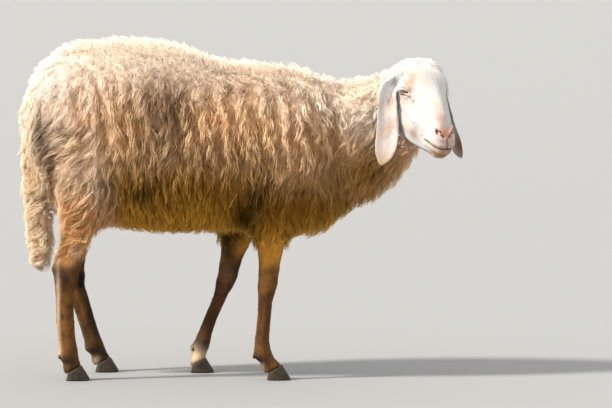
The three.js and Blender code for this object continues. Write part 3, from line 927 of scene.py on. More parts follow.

# %% [markdown]
# The head is white with tan patches and a pink muzzle. Its marks are given in the head's own axes. The
# darkest ones are painted shade in the nostrils, the mouth and the cleft of the lip: they run along the
# folds that were pressed into the mesh, so that colour and shape agree.

# %% Marks on the head
FACE_MARKS = [
    # (forward, left, up; reach the same way; colour; strength), in millimetres
    # The muzzle, the lips and the chin.
    ((150, 0, -18), (24, 28, 15), PINK, 0.96),
    ((160, 0, -40), (22, 27, 11), FAWN, 0.90),
    ((166, 0, -56), (18, 26, 6), ROSE, 0.65),
    ((166, 0, -72), (30, 42, 15), AMBER, 0.97),
    # The brows and the forehead.
    ((-10, -40, 42), (14, 10, 14), FAWN, 0.85),
    ((3, -47, 33), (11, 10, 11), FAWN, 0.90),
    ((14, -52, 19), (9, 8, 10), FAWN, 0.88),
    ((4, -58, 24), (9, 8, 6), PINK, 0.45),
    ((4, 54, 26), (10, 14, 12), PINK, 0.40),
    ((-14, -36, 47), (16, 16, 14), PALE, 0.45),
    ((25, -18, 45), (16, 10, 12), PALE, 0.45),
    ((0, 4, 52), (34, 34, 24), PEARL, 0.80),
    # Painted light at the roots of the ears and on the crown, which lifts the shade there.
    ((-38, -86, -2), (22, 24, 24), SNOW, 0.95),
    ((-26, -98, -24), (18, 20, 20), SNOW, 0.60),
    ((-30, 42, 48), (40, 36, 34), SNOW, 0.60),
    ((-38, -12, 58), (20, 54, 18), SNOW, 0.75),
    # The spot by the tear trough, the bridge of the nose, the jaw and the cheek.
    ((36, -47, -2), (4, 6, 5), CLAY, 0.80),
    ((118, -10, 4), (22, 12, 12), PINK, 0.60),
    ((90, -13, 22), (14, 9, 10), PALE, 0.65),
    ((82, -45, -68), (18, 14, 13), STAIN, 0.85),
    ((50, -50, -70), (16, 14, 10), PALE, 0.55),
    ((13, -58, -22), (14, 12, 9), PALE, 0.70),
    # The ears: the right one, then the left, whose blue-grey upper part is painted shade; its lower part
    # turns brown.
    ((-5, -80, -42), (16, 40, 34), BLUSH, 0.75),
    ((24, -82, -92), (14, 40, 36), BLUSH, 0.95),
    ((34, -82, -112), (3, 40, 9), CLAY, 0.30),
    ((-5, 112, -66), (60, 40, 60), SLATE, 0.96),
    ((44, 128, -138), (60, 50, 46), NUT, 0.98),
]
FACE_LINES = [
    # (fold, half width in mm, colour, strength)
    # The brown and near-black lines are painted shade in the nostrils, the mouth and the cleft of the lip.
    ("tear_trough", 3.4, ROSE, 0.75),
    ("nostril", 2.8, ROSE, 0.80),
    ("nostril", 1.9, LIVER, 0.92),
    ("nostril_pit", 2.4, LIVER, 0.90),
    ("mouth", 3.6, ROSE, 0.60),
    ("mouth", 2.0, SOOT, 0.95),
    ("philtrum", 1.8, BROWN, 0.85),
]
print("marks on the head:", len(FACE_MARKS), "and lines:", len(FACE_LINES))


# %% Soft marks
def mixed(base, colour, share):
    """The base colours with a share of another colour in each, from 0 to 1."""
    return base + (np.array(colour) - base) * np.clip(share, 0, 1)[:, None]


def soft_ball(places, centre, reach):
    """1 at the centre of a ball or egg, fading out at its reach."""
    return np.exp(-(np.linalg.norm((places - np.array(centre)) / np.array(reach), axis=1) ** 2))


print("a mark fades to", round(math.exp(-1), 2), "at its reach")


# %% Colour of the face at a place
def face_colour(places, colour):
    """Adds what is only on the head: pink muzzle, tan patches, and painted light and shade."""
    head = in_head(places)
    for centre, reach, mark, strength in FACE_MARKS:
        colour = mixed(colour, mark, strength * soft_ball(head, centre, reach))
    # A dark rim round each eye: partly the lids' dark edge, partly painted shade under the lids and lashes.
    rim = eye_gap(places)
    colour = mixed(colour, CLAY, 0.75 * (1 - step(1.4 * MM, 2.4 * MM, rim)))
    colour = mixed(colour, SOOT, 0.9 * (1 - step(0.4 * MM, 1.6 * MM, rim)))
    for side in EYES:
        inner, out, _ = (np.array(axis) for axis in eye_axes(side))
        corner = np.array(EYES[side]) + (EYE_RADIUS + 1.5 * MM) * (0.86 * inner + 0.5 * out)
        colour = mixed(colour, ROSE, 0.9 * soft_ball(places, corner, (3.2 * MM,) * 3))
    for name, half, mark, strength in FACE_LINES:
        line = fold_lines[name]
        share = np.zeros(len(places))
        near = close_by(places, line, 3 * half * MM + 6 * MM)
        share[near] = np.exp(-((gap_to(places[near], line) / half) ** 2))
        colour = mixed(colour, mark, strength * share)
    return colour


print("nose:", face_colour(np.array([from_head(160, 0, -40)]), np.array([WHITE])).round(2))


# %% Colour of the coat at a place
TAIL_BACK, TAIL_HALF = -0.44, 0.058


def coat_colour(places):
    """The colour of wool, hair or skin at each place: stains, painted light and shade, and marks."""
    x, y, z = places.T
    colour = np.tile(np.array(CREAM), (len(places), 1))
    is_tail = (x < TAIL_BACK) * (np.abs(y) < TAIL_HALF) * (1 - step(0.60, 0.68, z))
    # Toward the belly the wool turns darker and warmer: partly real stain, partly painted shade under the
    # overhang of the body. The chest is lifted lighter, and the golden band at the belly's edge is partly its
    # own stain, partly painted light thrown up from the ground.
    low = z + 0.05 * step(0.02, 0.14, x) + 0.09 * step(0.18, 0.32, x) * step(0.42, 0.70, z)
    low = low + 0.02 * cloud(places, 9.0, 2.0)
    haunch = 1 - step(-0.36, -0.28, x)
    colour = mixed(colour, STRAW, (1 - step(0.63, 0.80, low)) * (1 - 0.2 * is_tail) * (1 - 0.4 * haunch))
    colour = mixed(colour, HONEY, 0.85 * is_tail * (1 - step(0.52, 0.66, z)))
    colour = mixed(colour, EARTH_AND_SHADE, 0.95 * (1 - step(0.47, 0.63, low)) * (1 - is_tail) * (1 - 0.92 * haunch))
    colour = mixed(colour, HEM, 0.7 * (1 - step(0.39, 0.47, low)) * (1 - is_tail) * (1 - haunch))
    colour = mixed(colour, RUSSET, (1 - step(0.40, 0.50, z)) * haunch * (1 - is_tail))
    shank = (1 - step(0.27, 0.34, z)) * (1 - is_tail)
    colour = mixed(colour, TAN, shank)
    legs = (1 - step(0.30, 0.40, z)) * (1 - is_tail)
    patchy = cloud(places, 34.0, 8.0)
    fine = cloud(places, 95.0, 12.0)
    # The shanks are mottled, and the far legs are darkened, which is painted shade.
    colour = colour * (1 + legs * (0.9 * np.clip(patchy, -0.5, 0.5) + 0.5 * fine - 0.48 * (y > 0)))[:, None]
    colour = mixed(colour, UMBER, 0.6 * legs * step(0.15, 0.40, cloud(places, 21.0, 9.0)))
    # The crown is whiter: partly its clean white wool, partly painted light over the shade there.
    ahead, aside, up = in_head(places).T
    crown = (np.abs(aside) < 88) * step(-95, -55, ahead + 0.25 * up) * step(-5, 30, up)
    colour = mixed(colour, SNOW, 0.75 * crown)
    bare = np.maximum(on_face(places), on_ear(places))
    colour = mixed(colour, WHITE, bare)
    colour = np.where(bare[:, None] > 0.5, face_colour(places, colour), colour)
    for centre, reach, mark, strength in BODY_MARKS:
        colour = mixed(colour, mark, strength * soft_ball(places, centre, reach))
    return colour


print("back and belly:", coat_colour(np.array([[0.0, 0.0, 0.8], [0.0, 0.0, 0.4]])).round(2).tolist())

# %% Paint the skin
COAT = "coat"


def paint(made, colours):
    """Keeps a colour at each point of a mesh, which its finish reads."""
    layer = made.data.color_attributes.new(COAT, "FLOAT_COLOR", "POINT")
    opaque = np.column_stack([colours, np.ones(len(colours))])
    layer.data.foreach_set("color", opaque.astype(np.float32).ravel())


paint(skin, coat_colour(points(skin)))
print("skin painted")

# %% [markdown]
# ## Roots of the wool
# Locks stand on the skin at even but not regular distances. We throw many places on the skin's
# triangles, each with a chance that goes with the triangle's area, and keep a place only if no kept one
# is nearer than the spacing of the locks there. Bare parts, the face and the shanks, are left out.

# %% Triangles of the skin
skin.data.calc_loop_triangles()
tris = skin.data.loop_triangles
tri_verts = np.empty(len(tris) * 3, int)
tri_loops = np.empty(len(tris) * 3, int)
tris.foreach_get("vertices", tri_verts)
tris.foreach_get("loops", tri_loops)
tri_verts, tri_loops = tri_verts.reshape(-1, 3), tri_loops.reshape(-1, 3)
corners = points(skin)[tri_verts]
tri_area = np.linalg.norm(np.cross(corners[:, 1] - corners[:, 0], corners[:, 2] - corners[:, 0]), axis=1) / 2
skin_normals = normals(skin)
print("skin:", round(tri_area.sum(), 2), "square metres in", len(tris), "triangles")


# %% Scatter helpers
def scatter(count, want):
    """Random places on the skin where want(places) is above a draw from 0 to 1, with normals and map."""
    pick = RNG.choice(len(tri_area), count, p=tri_area / tri_area.sum())
    a, b = RNG.random((2, count))
    flip = a + b > 1
    a[flip], b[flip] = 1 - a[flip], 1 - b[flip]
    share = np.stack([1 - a - b, a, b], 1)[:, :, None]
    places = (corners[pick] * share).sum(1)
    keep = RNG.random(count) < want(places)
    facing = (skin_normals[tri_verts[pick]] * share).sum(1)
    facing /= np.linalg.norm(facing, axis=1)[:, None]
    flat = (skin_uv[tri_loops[pick]] * share).sum(1)
    return places[keep], facing[keep], flat[keep]


def thinned(places, gap):
    """Indices of places kept so that none has a kept one nearer than its gap."""
    tree = tree_over(places)
    free, kept = np.ones(len(places), bool), []
    for index, place in enumerate(places):
        if free[index]:
            kept.append(index)
            for _, other, _ in tree.find_range(place, gap[index]):
                free[other] = False
    return np.array(kept)


def coat_depth(places):
    """The depth of wool over these places, in metres."""
    return np.array([depth[core_tree.find(place)[1]] for place in places]) * MM


print("scatter helpers ready")

# %% Roots of the locks
WOOL_FROM, CORE_REACH = 5 * MM, 30 * MM
SPACING, ROOT_TRIES = 12.4 * MM, 90000


def woolly(places):
    """1 where wool grows, 0 on the face, the ears and the shanks."""
    in_core = np.array([core_tree.find(place)[2] for place in places]) < CORE_REACH
    return ((on_face(places) < 0.5) & in_core & (coat_depth(places) > WOOL_FROM)).astype(float)


places, facing, flat = scatter(ROOT_TRIES, woolly)
top = np.clip(facing[:, 2], 0, 1)
fore_end = step(0.24, 0.34, places[:, 0])
crown = step(0.40, 0.43, places[:, 0]) * step(0.70, 0.74, places[:, 2])
in_middle = np.abs(places[:, 1]) < TAIL_HALF
shin = (1 - step(0.40, 0.48, places[:, 2])) * ~in_middle
gap = SPACING * (1 - 0.10 * top) * (1 - 0.16 * fore_end) * (1 - 0.30 * crown) * (1 - 0.22 * shin)
kept = thinned(places, gap)
root, root_up, root_uv = places[kept], facing[kept], flat[kept]
root_deep = coat_depth(root)
print("locks:", len(root), "from", len(places), "places")

# %% [markdown]
# ## Lie of the wool
# Wool hangs: on the sides it points down and a little back, on the back it parts along the spine and
# stands up soft, on the thigh it sweeps back in waves, on the neck it falls away from the head. We
# write that as a direction at each place, turn it by a slow noise so that neighbours swirl together,
# and let each lock walk along the skin in that direction, held off it by the depth of the coat.

# %% Parts of the fleece
region = nearest_solid(root, CORE_NODES)


def is_in(*names):
    return np.isin(region, [CORE_NODES.index(name) for name in names])


thigh = is_in(*[TOPS[leg] for leg in LEGS if leg.startswith("hind")])
elbow = is_in(*[TOPS[leg] for leg in LEGS if leg.startswith("fore")])
neck, tail, poll = is_in("neck"), is_in("tail"), is_in("head")
faces_aside = step(0.3, 0.7, np.abs(root_up[:, 1]))
haunch = step(-0.30, -0.40, root[:, 0]) * (1 - step(0.62, 0.70, root[:, 2])) * faces_aside
under = step(0.35, 0.85, -root_up[:, 2])
over = step(0.35, 0.9, root_up[:, 2])
print("locks on neck, tail and poll:", neck.sum(), tail.sum(), poll.sum())

# %% Lie of the locks
SWIRL, SWIRL_SIZE, STRAY = math.radians(28), 11.0, math.radians(13)
SIDE_LIE, NECK_LIE, TAIL_LIE = (-0.05, 0.0, -1.0), (-0.55, 0.10, -0.85), (-0.30, 0.0, -0.95)
POLL_LIE, HAUNCH_LIE = (-0.7, 0.35, -0.5), (-0.78, 0.0, -0.62)
BACK_LIE, BACK_PARTING = -0.5, 0.5


def directions():
    """The way each lock lies, before it is laid against the skin."""
    way = np.tile(SIDE_LIE, (len(root), 1))
    away = np.sign(root[:, 1])
    parting = np.stack([np.full(len(away), BACK_LIE), BACK_PARTING * away, np.zeros(len(away))], 1)
    way += over[:, None] * parting
    for members, lie in ((neck, NECK_LIE), (tail, TAIL_LIE), (poll, POLL_LIE)):
        way = np.where(members[:, None], lie, way)
    back_swept = np.maximum(thigh, haunch)[:, None]
    return way + back_swept * (np.array(HAUNCH_LIE) - way)


def turned(way, up, turn):
    """Each way turned about the skin's normal by an angle."""
    return way * np.cos(turn)[:, None] + np.cross(up, way) * np.sin(turn)[:, None]


way = directions()
turn = SWIRL * cloud(root, SWIRL_SIZE) + RNG.normal(0, STRAY, len(root))
way = turned(way, root_up, turn)
print("locks that point down:", (way[:, 2] < 0).sum())

# %% [markdown]
# On the flanks the fleece is split into upright lobes with dark grooves between them. Both come from one
# rule: a wave along the body, bent by noise, gives each place a depth from crest to groove. Locks in a
# groove stand lower, and their colour is darkened by painted shade.

# %% Size of the locks
LOBE_WIDE, LOBE_LEAN, LOBE_BEND = 0.047, 0.2, 3.0
HEM_HIGH, SHORTEST, TIP_SHORTEST = 0.585, 11 * MM, 12 * MM


def grooves(places, facing):
    """How deep a place lies between the lobes of the fleece: 0 on a crest, 1 in a groove."""
    x, z = places[:, 0], places[:, 2]
    side = step(0.3, 0.6, np.abs(facing[:, 1])) * step(0.54, 0.59, z) * (1 - step(0.72, 0.79, z))
    side = side * (x > -0.42) * (x < 0.26)
    bend = LOBE_BEND * cloud(places, 7.0, 3.0)
    lobes = 0.5 - 0.5 * np.cos(2 * math.pi * (x + LOBE_LEAN * z) / LOBE_WIDE + bend)
    lumps = 0.5 - 0.5 * np.clip(1.8 * cloud(places, 24.0, 4.0), -1, 1)
    return np.clip(0.95 * side * lobes**0.8 + (0.60 - 0.35 * side) * lumps * (1 - step(0.72, 0.80, z)), 0, 1)


groove = grooves(root, root_up)
# Lengths in millimetres at first, shorter where the coat is short.
long = 62 - 22 * over - 22 * under - 10 * neck - 24 * tail - 12 * thigh - 28 * elbow - 40 * poll
long = (long + 6 * cloud(root, 17.0, 5.0)) * RNG.uniform(0.8, 1.15, len(root)) * MM
long = np.clip(np.minimum(long, 8 * MM + 3.4 * root_deep), SHORTEST, None)
hem = HEM_HIGH + 0.02 * cloud(root * (1, 0, 0), 14.0, 6.0)
under_hem = (1 - step(hem - 0.012, hem, root[:, 2])) * step(0.44, 0.56, root[:, 2]) * (root[:, 0] < 0.24)
rise = root_deep * (1.05 - (0.19 - 0.13 * over) * RNG.random(len(root)))
rise = rise * (1 - 0.58 * groove) * (1 - 0.24 * under_hem)
tip_end = tail & (root_up[:, 2] < -0.45)
long = np.where(tip_end, np.maximum(1.05 * rise, TIP_SHORTEST), long)
print("lock lengths:", (np.percentile(long, [5, 50, 95]) / MM).round(), "mm")

# %% Walk the locks along the skin
LEAST_RUN = 0.15
skin_tree = BVHTree.FromPolygons(points(skin).tolist(), tri_verts.tolist())


def walk(start, way, long, rise, stand, count):
    """Each lock's feet along the skin, its lift off them and the normals. stand: how straight it grows."""
    pace, least = long / (count - 1), LEAST_RUN * long / (count - 1)
    bend = 2.4 - 1.2 * stand
    foot, feet, lifts, ups = start.copy(), [start], [np.zeros(len(start))], []
    for k in range(count):
        near = [skin_tree.find_nearest(place)[:2] for place in foot]
        foot = np.array([place for place, _ in near])
        up = np.array([facing for _, facing in near])
        ups.append(up)
        if k == count - 1:
            break
        along = unit(way - (way * up).sum(1)[:, None] * up)
        share, after = k / (count - 1), (k + 1) / (count - 1)
        before, lift = rise * (1 - (1 - share) ** bend), rise * (1 - (1 - after) ** bend)
        run = np.sqrt(np.maximum(pace**2 - (lift - before) ** 2, least**2))
        foot = foot + along * run[:, None]
        feet.append(foot)
        lifts.append(lift)
    return np.stack(feet, 1), np.stack(lifts, 1)[:, :, None], np.stack(ups, 1)


stand = np.clip(0.65 * over + 0.3 * poll + tip_end, 0, 1)
print("locks that stand up:", (stand > 0.5).sum())

# %% [markdown]
# ## Strands
# A lock is not one solid finger: it is a handful of finer strands that start apart, crimp together and
# close toward one tip. One strand is modelled once, as a three-sided tube that narrows to a point, and
# that pattern is laid along every line as arrays. Three sides are enough for something this thin.

# %% One strand
STRAND_SIDES = 3


def strand_pattern(count):
    """Each vertex's place on the ring and its level, and the faces, of a strand of count points."""
    bm = bmesh.new()
    bmesh.ops.create_circle(bm, cap_ends=True, segments=STRAND_SIDES, radius=1.0)
    rim = bm.edges[:]
    for _ in range(count - 1):
        grown = bmesh.ops.extrude_edge_only(bm, edges=rim)["geom"]
        rim = [part for part in grown if isinstance(part, bmesh.types.BMEdge)]
        ring = [part for part in grown if isinstance(part, bmesh.types.BMVert)]
        bmesh.ops.translate(bm, verts=ring, vec=UP)
    bmesh.ops.pointmerge(bm, verts=ring, merge_co=(0, 0, count - 1))
    bmesh.ops.recalc_face_normals(bm, faces=bm.faces)
    bm.verts.index_update()
    shape = np.array([vert.co for vert in bm.verts])
    faces = [[vert.index for vert in face.verts] for face in bm.faces]
    bm.free()
    return shape, faces


print("a strand of six points has", len(strand_pattern(6)[1]), "faces")

# %% Many strands
PATCH = 0.003
FIBRE_SPREAD = 90


def carry(made, name, vectors):
    """Keeps a vector at each point of a mesh, which its finish reads."""
    layer = made.data.attributes.new(name, "FLOAT_VECTOR", "POINT")
    layer.data.foreach_set("vector", vectors.astype(np.float32).ravel())


def strands(name, lines, across, upward, wide, colours, flat, tall=0.75, smooth=True):
    """One mesh of many strands. lines, across and upward are (strand, point, 3); wide is (strand, point)."""
    count, levels = lines.shape[:2]
    shape, faces = strand_pattern(levels)
    level = shape[:, 2].round().astype(int)
    places = lines[:, level] + wide[:, level, None] * (
        shape[:, 0, None] * across[:, level] + tall * shape[:, 1, None] * upward[:, level]
    )
    sizes = np.array([len(face) for face in faces])
    order = np.concatenate(faces)
    step_up = np.arange(count)[:, None] * len(shape)
    mesh = bpy.data.meshes.new(name)
    mesh.vertices.add(count * len(shape))
    mesh.vertices.foreach_set("co", places.astype(np.float32).ravel())
    mesh.loops.add(count * len(order))
    verts = (order[None, :] + step_up).ravel()
    mesh.loops.foreach_set("vertex_index", verts.astype(np.int32))
    mesh.polygons.add(count * len(faces))
    first = np.concatenate([[0], sizes.cumsum()[:-1]])
    starts = (first[None, :] + np.arange(count)[:, None] * len(order)).ravel()
    mesh.polygons.foreach_set("loop_start", starts.astype(np.int32))
    mesh.update(calc_edges=True)
    if smooth:
        mesh.shade_smooth()
    else:
        mesh.shade_flat()
    made = piece(name, mesh)
    paint(made, colours[:, level].reshape(-1, 3))
    unrolled = np.stack([shape[:, 0], tall * shape[:, 1], 0.5 * shape[:, 2]], 1)
    fibre = unrolled * wide.max(1)[:, None, None] / MM
    carry(made, "fibre", fibre + RNG.uniform(0, FIBRE_SPREAD, (count, 1, 3)))
    patch = PATCH * np.stack([shape[:, 0] / 2, shape[:, 2] / (levels - 1) - 0.5], 1)
    spots = np.clip((flat[:, None] + patch[None]).reshape(-1, 2), 0, 1)
    layer = mesh.uv_layers.new(name=BAKE_MAP)
    layer.data.foreach_set("uv", spots[verts].astype(np.float32).ravel())
    print(name, count, "strands,", count * (sum(sizes) - 2 * len(faces)), "triangles")
    return made


# %% [markdown]
# Inside a lock each strand gets its own start on the root's disc, its own layer of the coat, a trim, a
# stray and a wave. Neighbours in one lock share most of the wave, so they crimp together and the lock
# still reads as one.

# %% Locks into strands
CRIMP_LONG = 26 * MM
OUTER_SHARE, OUTER_LAYER, INNER_LAYER = 0.6, (0.88, 1.05), (0.35, 0.9)


def across_and_up(lines, up):
    """The two directions across each line: along the skin and away from it."""
    ahead = unit(np.gradient(lines, axis=1))
    across = unit(np.cross(ahead, up))
    return across, np.cross(across, ahead)


def split(feet, lifts, ups, many, root_wide, tip_wide, crimp, drift, thick):
    """Each lock as many strands: their lock, layer, lines, the two directions across them and their width."""
    locks, count = feet.shape[:2]
    own = np.repeat(np.arange(locks), many)
    outer = RNG.random(len(own)) < OUTER_SHARE
    layer = np.where(outer, RNG.uniform(*OUTER_LAYER, len(own)), RNG.uniform(*INNER_LAYER, len(own)))
    up = ups[own]
    line = feet[own] + up * lifts[own] * layer[:, None, None]
    share = np.linspace(0, 1, count)[None, :, None]
    across, upward = across_and_up(line, up)
    turn, reach = RNG.uniform(0, 2 * math.pi, len(own)), np.sqrt(RNG.random(len(own)))
    aside, above = (reach * np.cos(turn))[:, None, None], (reach * np.sin(turn))[:, None, None]
    wide = root_wide * (1 - share) ** 0.8 + tip_wide * share
    travelled = np.linalg.norm(np.diff(line, axis=1), axis=2).cumsum(1)
    travelled = np.concatenate([np.zeros((len(own), 1)), travelled], 1)[:, :, None]
    phase = np.repeat(RNG.uniform(0, 2 * math.pi, locks), many)[:, None, None]
    pace = np.repeat(RNG.uniform(0.75, 1.3, locks), many)[:, None, None]
    phase = phase + RNG.normal(0, 0.6, len(own))[:, None, None] + 2 * math.pi * pace * travelled / CRIMP_LONG
    wave = crimp * np.repeat(RNG.uniform(0.5, 1.4, locks), many)[:, None, None] * np.minimum(1, share * 2.5)
    trim = RNG.uniform(0.78, 1.08, len(own))[:, None, None]
    stray = RNG.normal(0, drift, (len(own), 2, 1, 1)) * share**1.5
    line = line[:, :1] + (line - line[:, :1]) * trim
    line = line + across * (wide * aside + wave * np.sin(phase) + stray[:, 0])
    line = line + upward * (0.5 * wide * above + 0.6 * wave * np.cos(phase) + 0.6 * stray[:, 1])
    across, upward = across_and_up(line, up)
    taper = thick * (0.75 + 0.5 * np.sin(math.pi * share[:, :, 0])) * (1 - 0.55 * share[:, :, 0] ** 2)
    return own, layer, line, across, upward, taper * RNG.uniform(0.75, 1.25, (len(own), 1))


print("a crimp is", CRIMP_LONG / MM, "mm long")


# %% Shades of a strand
def shades(base, own, deep, uneven):
    """Root-to-tip colours: darker at the skin, partly grease and partly painted shade, bleached at the tip,
    each strand a little off.
    """
    share = np.linspace(0, 1, base.shape[1])[None, :, None]
    lock_tone = (1 + RNG.normal(0, uneven, own.max() + 1))[own][:, None, None]
    tone = (1 + RNG.normal(0, 0.7 * uneven, len(own)))[:, None, None]
    along = deep + (1.03 - deep) * np.minimum(1, share * 1.6)
    return np.clip(base * lock_tone * tone * along, 0, 1)


print("shades ready")

# %% Kinds of wool
# Points and strands in a lock, then in mm its width at root and tip, crimp, stray and half width of a
# strand, then how uneven its colour is.
HANGING = (6, 10, 8.5, 4.0, 2.4, 2.4, 0.66, 0.10)
FAR = (6, 7, 8.5, 4.2, 2.4, 2.6, 0.74, 0.10)
CURLY = (6, 10, 8.5, 3.6, 2.6, 2.2, 0.62, 0.09)
WAVY = (6, 9, 8.5, 3.0, 3.2, 2.2, 0.64, 0.17)
BUSHY = (6, 22, 10.0, 7.5, 1.8, 3.0, 0.66, 0.08)
FLUFFY = (5, 14, 10.5, 8.0, 1.0, 3.0, 0.55, 0.03)
DOWNY = (5, 12, 7.0, 6.0, 0.5, 1.6, 0.45, 0.03)
SHORT = (5, 9, 9.0, 4.0, 1.8, 2.4, 0.80, 0.08)
REAR_HALF, BACK_FROM, BELLY_FROM = -0.16, 0.45, 0.5
near, rear = root[:, 1] < 0, root[:, 0] < REAR_HALF
GROUPS = {
    # name: (locks, kind); a lock goes to the first group that claims it
    "fleece_tail": (tail, BUSHY),
    "fleece_poll": (poll, DOWNY),
    "fleece_neck": (neck, CURLY),
    "fleece_haunch": (thigh | elbow | (haunch > 0.5), WAVY),
    "fleece_back_rear": ((over > BACK_FROM) & rear, FLUFFY),
    "fleece_back_front": ((over > BACK_FROM) & ~rear, FLUFFY),
    "fleece_belly": (under > BELLY_FROM, SHORT),
    "fleece_near_rear": (near & rear, HANGING),
    "fleece_near_front": (near & ~rear, HANGING),
    "fleece_far_rear": (~near & rear, FAR),
    "fleece_far_front": (~near & ~rear, FAR),
}
print("groups of wool:", len(GROUPS))

# %% Grow the fleece
GROOVE_SHADE, INSIDE_SHADE = np.array([0.34, 0.46, 0.56]), np.array([0.35, 0.5, 0.65])
ROOT_TONE, SPOT_SPREAD = 0.85, 0.0015
# Painted shade in the grooves between the lobes and clumps, deeper on the haunch and fainter on the tail.
groove = groove * (1 + 0.45 * haunch) * (1 - 0.6 * tail)
shaded = 1 - groove[:, None] * GROOVE_SHADE
# Painted light: the wool's colour is raised, most on the neck, the tail and the tail's tip, least on the
# back.
painted_light = 1.2 - 0.2 * over - 0.06 * haunch + 0.24 * neck + 0.42 * tail + 0.4 * tip_end
left_over = np.ones(len(root), bool)
fleece = []
for name, (members, (count, many, *sizes, uneven)) in GROUPS.items():
    mine = np.flatnonzero(members & left_over)
    left_over[mine] = False
    course = walk(root[mine], way[mine], long[mine], rise[mine], stand[mine], count)
    own, layer, line, across, upward, wide = split(*course, many, *[size * MM for size in sizes])
    # Strands deep inside a lock are darkened, which is painted shade, less so on the open tail.
    open_light = (1 - 0.6 * tail[mine])[own]
    inside = INSIDE_SHADE * (open_light * np.clip(1 - layer, 0, 1))[:, None]
    base = coat_colour(line.reshape(-1, 3)).reshape(line.shape)
    tone = (1 - inside) * shaded[mine][own] * painted_light[mine][own, None]
    colours = shades(base, own, ROOT_TONE, uneven) * tone[:, None]
    colours /= np.maximum(1, colours.max(-1, keepdims=True))
    spot = root_uv[mine][own] + RNG.normal(0, SPOT_SPREAD, (len(own), 2))
    fleece.append(strands(name, line, across, upward, wide, colours, spot))
print("locks in no group:", left_over.sum())

# %% [markdown]
# ## Short hair
# The face, ears and shanks carry hair of a few millimetres that lies flat. Most of it is only a bump in
# the finish, but without real hairs the outline would be as clean as plastic. So a thin scatter of very
# fine ones is laid almost flat, along the way the coat of a sheep runs: up the face from the nose,
# down the ears to their tips, and down the legs.

# %% Lay a short hair
HAIR_SWIRL, HAIR_STRAY = 0.35, 0.16
HAIR_ROOT_TONE, HAIR_UNEVEN = 0.97, 0.02


def short_hair(name, count, want, lay, length, thick, rise, tall, taper):
    start, facing, flat = scatter(count, want)
    count_points = len(taper)
    turn = HAIR_SWIRL * cloud(start, 30.0) + RNG.normal(0, HAIR_STRAY, len(start))
    way = turned(lay(start), facing, turn)
    long = length(start) * RNG.uniform(0.7, 1.2, len(start))
    high = rise * RNG.uniform(0.4, 1.3, len(start))
    feet, lifts, ups = walk(start, way, long, high, np.zeros(len(start)), count_points)
    lines = feet + ups * (lifts - 0.5 * tall * thick)
    across, upward = across_and_up(lines, ups)
    wide = thick * np.array(taper)[None] * RNG.uniform(0.7, 1.2, (len(start), 1))
    base = np.repeat(coat_colour(start)[:, None], count_points, 1)
    colours = shades(base, np.arange(len(start)), HAIR_ROOT_TONE, HAIR_UNEVEN)
    return strands(name, lines, -across, -upward, wide, colours, flat, tall, smooth=False)


print("a short hair strays by about", round(math.degrees(HAIR_STRAY)), "degrees")


# %% Hair of the face and the shanks
EAR_LIE, SHANK_LIE, CROWN_DROP = (0.0, 0.0, -1.0), (-0.12, 0.0, -1.0), (0.0, 0.0, -0.75)


def face_area(places):
    muzzle = step(118, 140, in_head(places)[:, 0])
    return on_face(places) * (1 - 0.75 * muzzle) * (1 - near_eyes(places, 5 * MM))


def shank_area(places):
    height = places[:, 2]
    crowded = 0.55 + 0.45 * np.maximum(1 - step(0.035, 0.055, height), step(0.22, 0.30, height))
    return ((height < 0.40) & (height > 0.02) & (coat_depth(places) < 1.7 * WOOL_FROM)) * crowded


def lay_face(places):
    back = -HEAD_AXES[0] - 0.25 * HEAD_AXES[2]
    return np.where(on_ear(places)[:, None], EAR_LIE, back[None])


def lay_shank(places):
    return np.tile(SHANK_LIE, (len(places), 1))


def face_long(places):
    return 6.5 * MM * (1 - 0.35 * step(100, 140, in_head(places)[:, 0]))


def shank_long(places):
    return 9 * MM * (1 + 0.9 * step(0.22, 0.32, places[:, 2]))


print("hair lies along", EAR_LIE, "on the ears and", SHANK_LIE, "on the shanks")


# %% Hair of the crown
def crown_area(places):
    """The rim of the crown's wool and the roots of the ears, where longer white hair hides the joins."""
    head = in_head(places)
    ahead, aside, up = head.T
    edge = past_wool(ahead, up)
    rim = (edge > -8) * (1 - step(6, 30, edge)) * (up > -12) * (np.abs(aside) < 92)
    from_roots = np.min([np.linalg.norm(head - (-26, way * 78, 2), axis=1) for way in (-1, 1)], 0)
    area = np.maximum(rim * ~on_ear(places), 1 - step(26, 44, from_roots))
    return area * (1 - near_eyes(places, LID_REACH))


def lay_crown(places):
    aside = np.sign(in_head(places)[:, 1])[:, None]
    return 0.75 * aside * HEAD_AXES[1] + 0.25 * HEAD_AXES[0] + np.array(CROWN_DROP)


def crown_long(places):
    return 19 * MM * (1 - 0.6 * step(-40, 0, in_head(places)[:, 0]))


print("hair of the crown lies sideways and drops by", CROWN_DROP[2])

# %% Grow the short hair
BRISTLE, WISP = (0.8, 1.0, 0.3), (0.8, 1.0, 0.9, 0.6, 0.2)
HAIRS = [
    # (name, places tried, where, lie, length, half width, lift, flatness, taper)
    ("face_hair", 125000, face_area, lay_face, face_long, 0.26 * MM, 0.16 * MM, 0.4, BRISTLE),
    ("crown_hair", 150000, crown_area, lay_crown, crown_long, 0.34 * MM, 6.5 * MM, 0.6, WISP),
    ("leg_hair", 92000, shank_area, lay_shank, shank_long, 0.36 * MM, 1.0 * MM, 0.5, BRISTLE),
]
hairs = [short_hair(*row) for row in HAIRS]

# %% [markdown]
# ## Eyes
# A sheep's eye is a dark amber ball with a level slit for a pupil, wet and a little proud at the cornea.
# The ball is a sphere whose front is raised. It also carries where each of its points lies across the
# slit, up, and out of the head, so that the finish can draw iris and pupil on it in any pose.

# %% Eyes
IRIS, CORNEA = 8.6 * MM, 1.0 * MM


